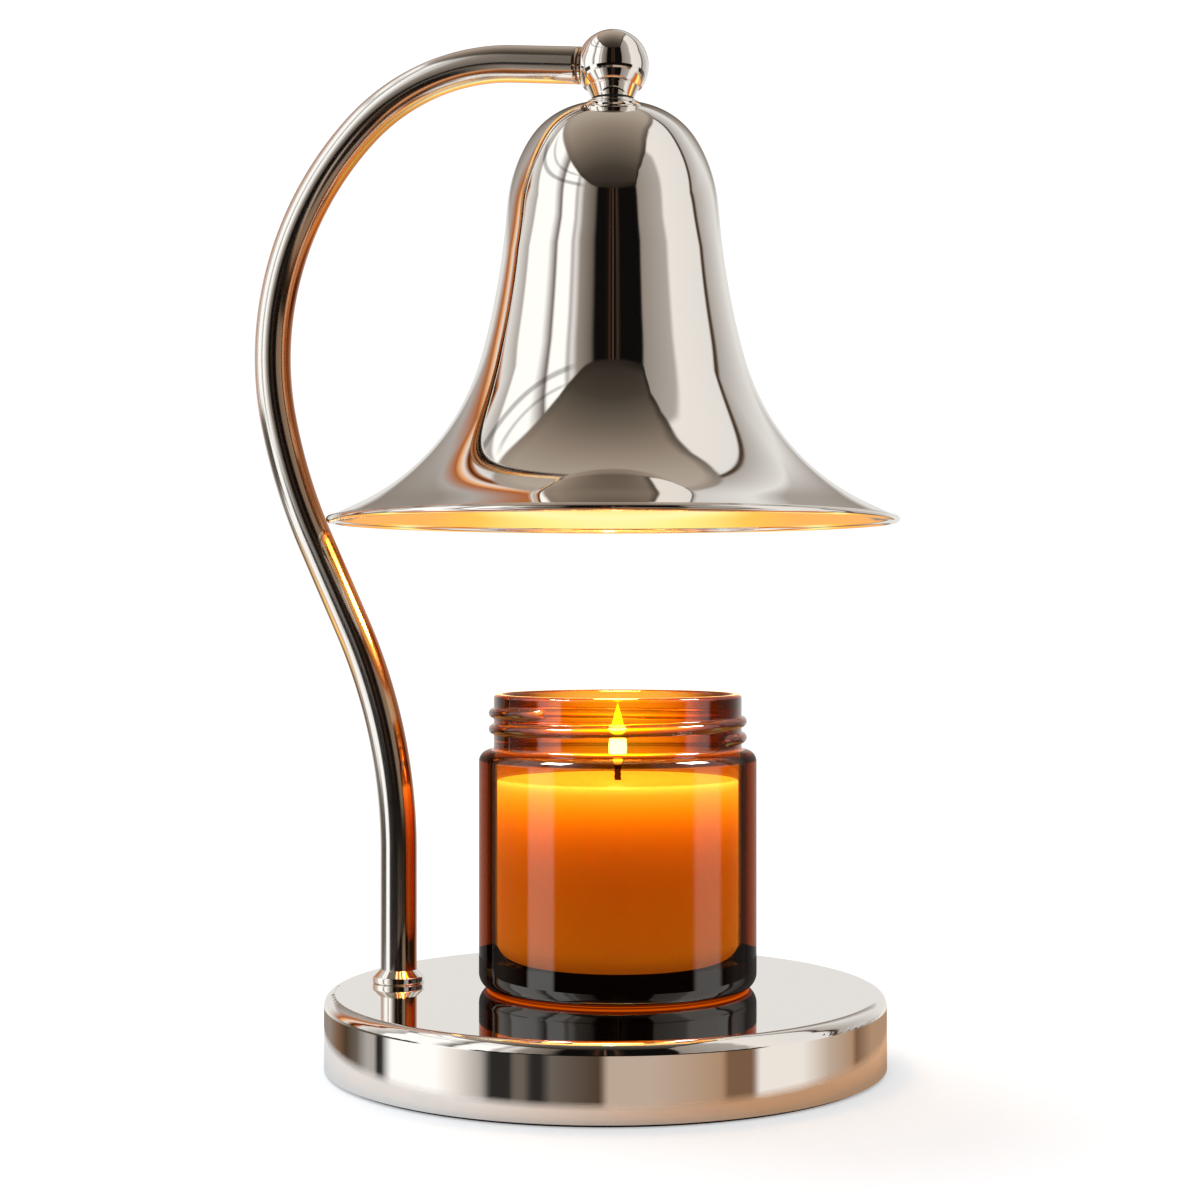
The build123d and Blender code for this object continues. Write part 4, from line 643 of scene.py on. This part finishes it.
def spun(name, outline, x, y, count):
    """Mesh of revolution from a closed outline of (radius, height, slot) in millimetres.

    The slot, which may be left out, is the material slot from that point to the next."""
    body = bmesh.new()
    rings, slots = [], []
    for radius, height, *slot in outline:
        slots.append(slot[0] if slot else 0)
        around = 1 if radius < 1e-6 else count
        rings.append([body.verts.new((x + radius * MM * math.cos(2 * math.pi * k / around),
                                      y + radius * MM * math.sin(2 * math.pi * k / around),
                                      height * MM)) for k in range(around)])
    for first, second, slot in zip(rings, rings[1:] + rings[:1], slots):
        if len(first) == len(second) == 1:
            continue
        for k in range(count):
            corners = [first[k % len(first)], first[(k + 1) % len(first)],
                       second[(k + 1) % len(second)], second[k % len(second)]]
            body.faces.new(list(dict.fromkeys(corners))).material_index = slot
    bmesh.ops.recalc_face_normals(body, faces=body.faces)
    mesh = bpy.data.meshes.new(name)
    body.to_mesh(mesh)
    body.free()
    return mesh


# ---------------------------------------------------------------- bell shade

# The spun bell in one smooth skin, 0.8 mm thick, with its rolled edge: a bead that hangs a share of
# its radius below the outer face's end and takes the place of what lies inside its gap.
SEAT_R, SHADE_TOP, SHADE_T, RIM_R, BEAD_R, LIP_SLOPE, HOLE_R = 7.8, 256.7, 0.8, 76.4, 0.9, 25, 4.35
BELL_X, EASING, BEAD_DROP, BEAD_GAP, BEAD_STEPS = 2.0, 12, 0.75, 1.03, 14
BENDS = [(10.0, -14.7), (20.6, -43.7), (39.5, -27.5), (208.0, 10.9), (71.2, 8.0), (60.8, 42.0)]


def bell_line(inset):
    """The bell's outline this far inside its outer face, from the seat to the rolled edge."""
    skin = [(radius + math.copysign(inset, turn), turn) for radius, turn in BENDS]
    reach = trace((SEAT_R, SHADE_TOP), 0, BENDS, 0.5)[-1][0]
    skin.append(((RIM_R - BEAD_R - reach) / math.cos(math.radians(LIP_SLOPE)),))
    return trace((SEAT_R, SHADE_TOP - inset), 0, skin, 0.75)


outer, inner = bell_line(0), bell_line(SHADE_T)
bead = (RIM_R - BEAD_R, outer[-1][1] - BEAD_DROP * BEAD_R)
outer, inner = [[point for point in eased(line, EASING)
                 if math.dist(point, bead) > BEAD_R * BEAD_GAP] for line in (outer, inner)]
first = math.atan2(outer[-1][1] - bead[1], outer[-1][0] - bead[0])
last = math.atan2(inner[-1][1] - bead[1], inner[-1][0] - bead[0]) - (
    2 * math.pi if inner[-1][1] > bead[1] else 0)
edge = [(bead[0] + BEAD_R * math.cos(first + (last - first) * k / BEAD_STEPS),
         bead[1] + BEAD_R * math.sin(first + (last - first) * k / BEAD_STEPS))
        for k in range(BEAD_STEPS + 1)]
outline = [(HOLE_R, SHADE_TOP)] + outer + edge + inner[::-1] + [(HOLE_R, SHADE_TOP - SHADE_T)]
piece("bell_skin", spun("bell_skin", outline, BELL_X * MM, 0, 240), "head",
      [made["spun_nickel"]], "shade")

# ---------------------------------------------------------------- swan-neck arm

# A 10 mm tube with a 1 mm wall, swept along its bends.
ARM_R, ARM_WALL, STEM_X, BASE_TOP = 4.98, 1.0, -57.65, 20.0
BALL_Z, ARM_DROP, TUBE_END = 267.6, 4.0, 9.0
ARM_BENDS = [(149.5, 24.3), (25.8,), (152.0, -13.3), (88.5, -55.3), (55.0, -49.7)]


def arm_line(step):
    """The arm's centre line from the base's top to the ring at the ball."""
    x, z = trace((STEM_X, BASE_TOP), 90, ARM_BENDS, step)[-1]
    run = (BELL_X - x) / math.cos(math.radians(ARM_DROP))
    upright = BALL_Z - z + run * math.sin(math.radians(ARM_DROP))
    return trace((STEM_X, BASE_TOP), 90, [(upright,)] + ARM_BENDS + [(run - TUBE_END,)], step)


tree = bpy.data.node_groups.new("tube_sweep", "GeometryNodeTree")
for label, kind in (("Geometry", "NodeSocketGeometry"), ("Radius", "NodeSocketFloat"),
                    ("Sides", "NodeSocketInt"), ("Closed ends", "NodeSocketBool"),
                    ("Finish", "NodeSocketMaterial")):
    tree.interface.new_socket(label, in_out="INPUT", socket_type=kind)
tree.interface.new_socket("Geometry", in_out="OUTPUT", socket_type="NodeSocketGeometry")
given = add(tree, "NodeGroupInput").outputs
line = add(tree, "GeometryNodeMeshToCurve", {0: given["Geometry"]})
run = add(tree, "GeometryNodeStoreNamedAttribute", {
    "Geometry": line.outputs[0], "Name": "run",
    "Value": add(tree, "GeometryNodeInputTangent").outputs[0]}, data_type="FLOAT_VECTOR",
    domain="POINT")
length = add(tree, "GeometryNodeStoreNamedAttribute", {
    "Geometry": run.outputs[0], "Name": "along",
    "Value": add(tree, "GeometryNodeSplineParameter").outputs["Length"]}, data_type="FLOAT",
    domain="POINT")
hoop = add(tree, "GeometryNodeCurvePrimitiveCircle", {"Resolution": given["Sides"],
                                                      "Radius": given["Radius"]})
around = add(tree, "GeometryNodeStoreNamedAttribute", {
    "Geometry": hoop.outputs[0], "Name": "around",
    "Value": add(tree, "GeometryNodeInputPosition").outputs[0]}, data_type="FLOAT_VECTOR",
    domain="POINT")
shell = add(tree, "GeometryNodeCurveToMesh", {"Curve": length.outputs[0],
                                              "Profile Curve": around.outputs[0],
                                              "Fill Caps": given["Closed ends"]})
real = add(tree, "GeometryNodeRealizeInstances", {0: shell.outputs[0]})
add(tree, "NodeGroupOutput", {0: add(tree, "GeometryNodeSetMaterial", {
    "Geometry": real.outputs[0], "Material": given["Finish"]}).outputs[0]})
tube_sweep = tree


def grown(name, mesh, tree, inputs):
    """The plain mesh that a node tree makes of another mesh."""
    item = bpy.data.objects.new(name, mesh)
    bpy.context.collection.objects.link(item)
    modifier = item.modifiers.new(name, "NODES")
    modifier.node_group = tree
    for socket in tree.interface.items_tree:
        if socket.in_out == "INPUT" and socket.name in inputs:
            modifier[socket.identifier] = inputs[socket.name]
    view = bpy.context.evaluated_depsgraph_get()
    result = bpy.data.meshes.new_from_object(item.evaluated_get(view), depsgraph=view)
    result.name = name
    bpy.data.objects.remove(item)
    return result


def swept(name, lines, radius, sides, closed, material):
    """Round bars of one radius along lines of points in millimetres."""
    mesh = bpy.data.meshes.new(name)
    points, steps = [], []
    for route in lines:
        steps += [(len(points) + k, len(points) + k + 1) for k in range(len(route) - 1)]
        points += [Vector(point) * MM for point in route]
    mesh.from_pydata(points, steps, [])
    inputs = {"Radius": radius * MM, "Sides": sides, "Closed ends": closed, "Finish": material}
    return grown(name, mesh, tube_sweep, inputs)


tube = swept("arm_skin", [[(x, 0, z) for x, z in arm_line(1.5)]], ARM_R, 64, False,
             made["arm_nickel"])
arm = piece("arm_skin", tube, "base", [made["arm_nickel"]], "arm_tube")
reaches_only("arm_only", [ember], [arm])
wall = arm.modifiers.new("wall", "SOLIDIFY")
wall.thickness, wall.offset = ARM_WALL * MM, -1

# ---------------------------------------------------------------- amber jar

# The jar's outline from its foot up the outside, over the lip and down the inside.
JAR_X, JAR_Y, JAR_Z, JAR_R = 2.4, 5.0, 20.05, 37.5
FOOT_ROUND, FOOT_H, BODY_H = 4.0, 5.0, 51.938
SHOULDER_ROUND, SHOULDER_TURN, SHOULDER_FLAT = 3.0, 80, 0.705
NECK_ROOT, NECK_R, NECK_H, LIP_ROUND, LIP_FLAT = 1.0, 33.5, 13.1, 0.9, 0.7
STEP_ROUND, STEP_TURN, INSIDE_H, FLOOR_ROUND, FLOOR_R = 2.0, 54.9, 49.2275, 5.0, 27.7
PUNT_R, PUNT_H, STAND_R = 29.0, 0.8, 30.5
foot = trace((JAR_R - FOOT_ROUND, JAR_Z), 0, [(FOOT_ROUND, 90), (FOOT_H,)], 1.0)
body_wall = trace(foot[-1], 90, [(BODY_H,), (SHOULDER_ROUND, SHOULDER_TURN), (SHOULDER_FLAT,)], 2.0)
neck = trace(body_wall[-1], 90 + SHOULDER_TURN, [(NECK_ROOT, -SHOULDER_TURN), (NECK_H,)], 0.25)
lip = trace(neck[-1], 90, [(LIP_ROUND, 90), (LIP_FLAT,), (LIP_ROUND, 90)], 0.25)
inside = trace(lip[-1], 270, [(NECK_H,), (STEP_ROUND, STEP_TURN), (STEP_ROUND, -STEP_TURN),
                              (INSIDE_H,), (FLOOR_ROUND, -90), (FLOOR_R,)], 2.0)
under_foot = [(0, JAR_Z + PUNT_H), (PUNT_R, JAR_Z + PUNT_H), (STAND_R, JAR_Z)]
jar_slots = ["amber_glass", "amber_glass_inside", "amber_glass_neck", "amber_glass_foot",
             "amber_glass_lip"]
outline = [(*point, jar_slots.index(glass)) for line, glass in (
    (foot[:-1], "amber_glass_foot"), (body_wall[:-1], "amber_glass"),
    (neck[:-1], "amber_glass_neck"), (lip[:-1], "amber_glass_lip"),
    (inside, "amber_glass_inside"), (under_foot, "amber_glass_foot")) for point in line]
jar_mesh = spun("jar_glass", outline, JAR_X * MM, JAR_Y * MM, 256)

# The screw thread: a rounded ridge that climbs one and three quarter turns round the neck.
PITCH, TURNS, CREST, HALF_W, THREAD_END, THREAD_END_AT = 4.3, 1.75, 1.4, 1.3, 94.55, -113.0
SUNK, RUN_OUT, THREADED = 0.5, 14, (85, 97.5)
ROUND = (HALF_W ** 2 + (CREST + SUNK) ** 2) / (2 * (CREST + SUNK))
for vertex in jar_mesh.vertices:
    x, y, z = vertex.co.x / MM - JAR_X, vertex.co.y / MM - JAR_Y, vertex.co.z / MM
    if abs(math.hypot(x, y) - NECK_R) > 0.01 or not THREADED[0] < z < THREADED[1]:
        continue
    back = (THREAD_END_AT - math.degrees(math.atan2(y, x))) % 360
    for turn in range(math.ceil(TURNS)):
        wound = back + 360 * turn
        off = z - (THREAD_END - PITCH * wound / 360)
        if wound > 360 * TURNS or abs(off) >= ROUND:
            continue
        rising = min(1.0, wound / RUN_OUT, (360 * TURNS - wound) / RUN_OUT) ** 0.5
        stand = (math.sqrt(ROUND ** 2 - off ** 2) - ROUND + CREST + SUNK) * rising - SUNK
        if stand > 0:
            vertex.co.x += x / NECK_R * stand * MM
            vertex.co.y += y / NECK_R * stand * MM
jar = piece("jar_glass", jar_mesh, "candle", [made[glass] for glass in jar_slots], "candle_jar")
reaches_only("jar_only", windows, [jar])
reaches_only("candle_and_arm", [bulb_lamp], [jar, arm, nodes["candle_wax"]])

# ---------------------------------------------------------------- wick and filament

# Cotton wick: three strands braided round each other.
WICK_LOW, WICK_TOP, WICK_STEP = 28.0, 79.7, 0.2
STRANDS, STRAND_R, BRAID_R, BRAID_TURN = 3, 0.5, 0.46, 1.6
heights = [WICK_LOW + WICK_STEP * n for n in range(round((WICK_TOP - WICK_LOW) / WICK_STEP) + 1)]
strands = [[(JAR_X + BRAID_R * math.cos(2 * math.pi * k / STRANDS + BRAID_TURN * z),
             JAR_Y + BRAID_R * math.sin(2 * math.pi * k / STRANDS + BRAID_TURN * z), z)
            for z in heights] for k in range(STRANDS)]
piece("braided_wick", swept("braided_wick", strands, STRAND_R, 10, True, made["cotton"]),
      "candle", [made["cotton"]], "candle_wick")
# Tungsten coil across the capsule, on its two support wires.
low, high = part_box("bulb_filament")
COIL_R, COIL_TURNS, TURN_STEPS, WIRE_R, COIL_LIFT, COIL_INSET = 0.58, 11, 24, 0.2, 0.8, 0.4
COIL_Z, COIL_END, CAPSULE_TOP = low[2] / MM + COIL_LIFT, high[1] / MM - COIL_INSET, high[2] / MM
COIL_STEPS = COIL_TURNS * TURN_STEPS
coil = [(BELL_X + COIL_R * math.sin(2 * math.pi * k / TURN_STEPS),
         COIL_END * (2 * k / COIL_STEPS - 1),
         COIL_Z + COIL_R * math.cos(2 * math.pi * k / TURN_STEPS)) for k in range(COIL_STEPS + 1)]
wires = [[(BELL_X, side * COIL_END, COIL_Z + COIL_R), (BELL_X, side * COIL_END, CAPSULE_TOP)]
         for side in (-1, 1)]
piece("coiled_filament", swept("coiled_filament", [coil] + wires, WIRE_R, 8, True,
                               made["tungsten"]), "bulb", [made["tungsten"]], "bulb_filament")

# ---------------------------------------------------------------- flame

# A candle flame: a white heart low down, yellow above, and a clear foot round the wick.
FLAME = [(0.0, 79.2), (0.9, 79.6), (1.5, 81.0), (1.9, 83.2), (2.0, 85.0), (1.8, 87.6), (1.45, 90.2),
         (0.95, 92.8), (0.5, 95.0), (0.0, 97.0)]
FLAME_LOW, FLAME_TOP = 0.079, 0.097
tree = finish("flame_gas")
reach = add(tree, "ShaderNodeMapRange", {"Value": along_axis(tree, "Z"), "From Min": FLAME_LOW,
                                         "From Max": FLAME_TOP})
heat = add(tree, "ShaderNodeValToRGB", {0: reach.outputs[0]},
           [(0.0, "#6A4A00"), (0.12, "#C8A040"), (0.2, "#FFFFFF"), (0.42, "#FFFFFF"),
            (0.52, "#A0C040"), (0.7, "#688C20"), (1.0, "#606C10")])
burning = add(tree, "ShaderNodeEmission", {"Color": heat.outputs[0], "Strength": 16.0})
add(tree, "ShaderNodeOutputMaterial", {"Surface": burning.outputs[0]})
piece("flame", spun("flame", FLAME, JAR_X * MM, JAR_Y * MM, 32), "candle", [made["flame_gas"]])

# ---------------------------------------------------------------- the end

bpy.context.scene.view_settings.view_transform = "Standard"
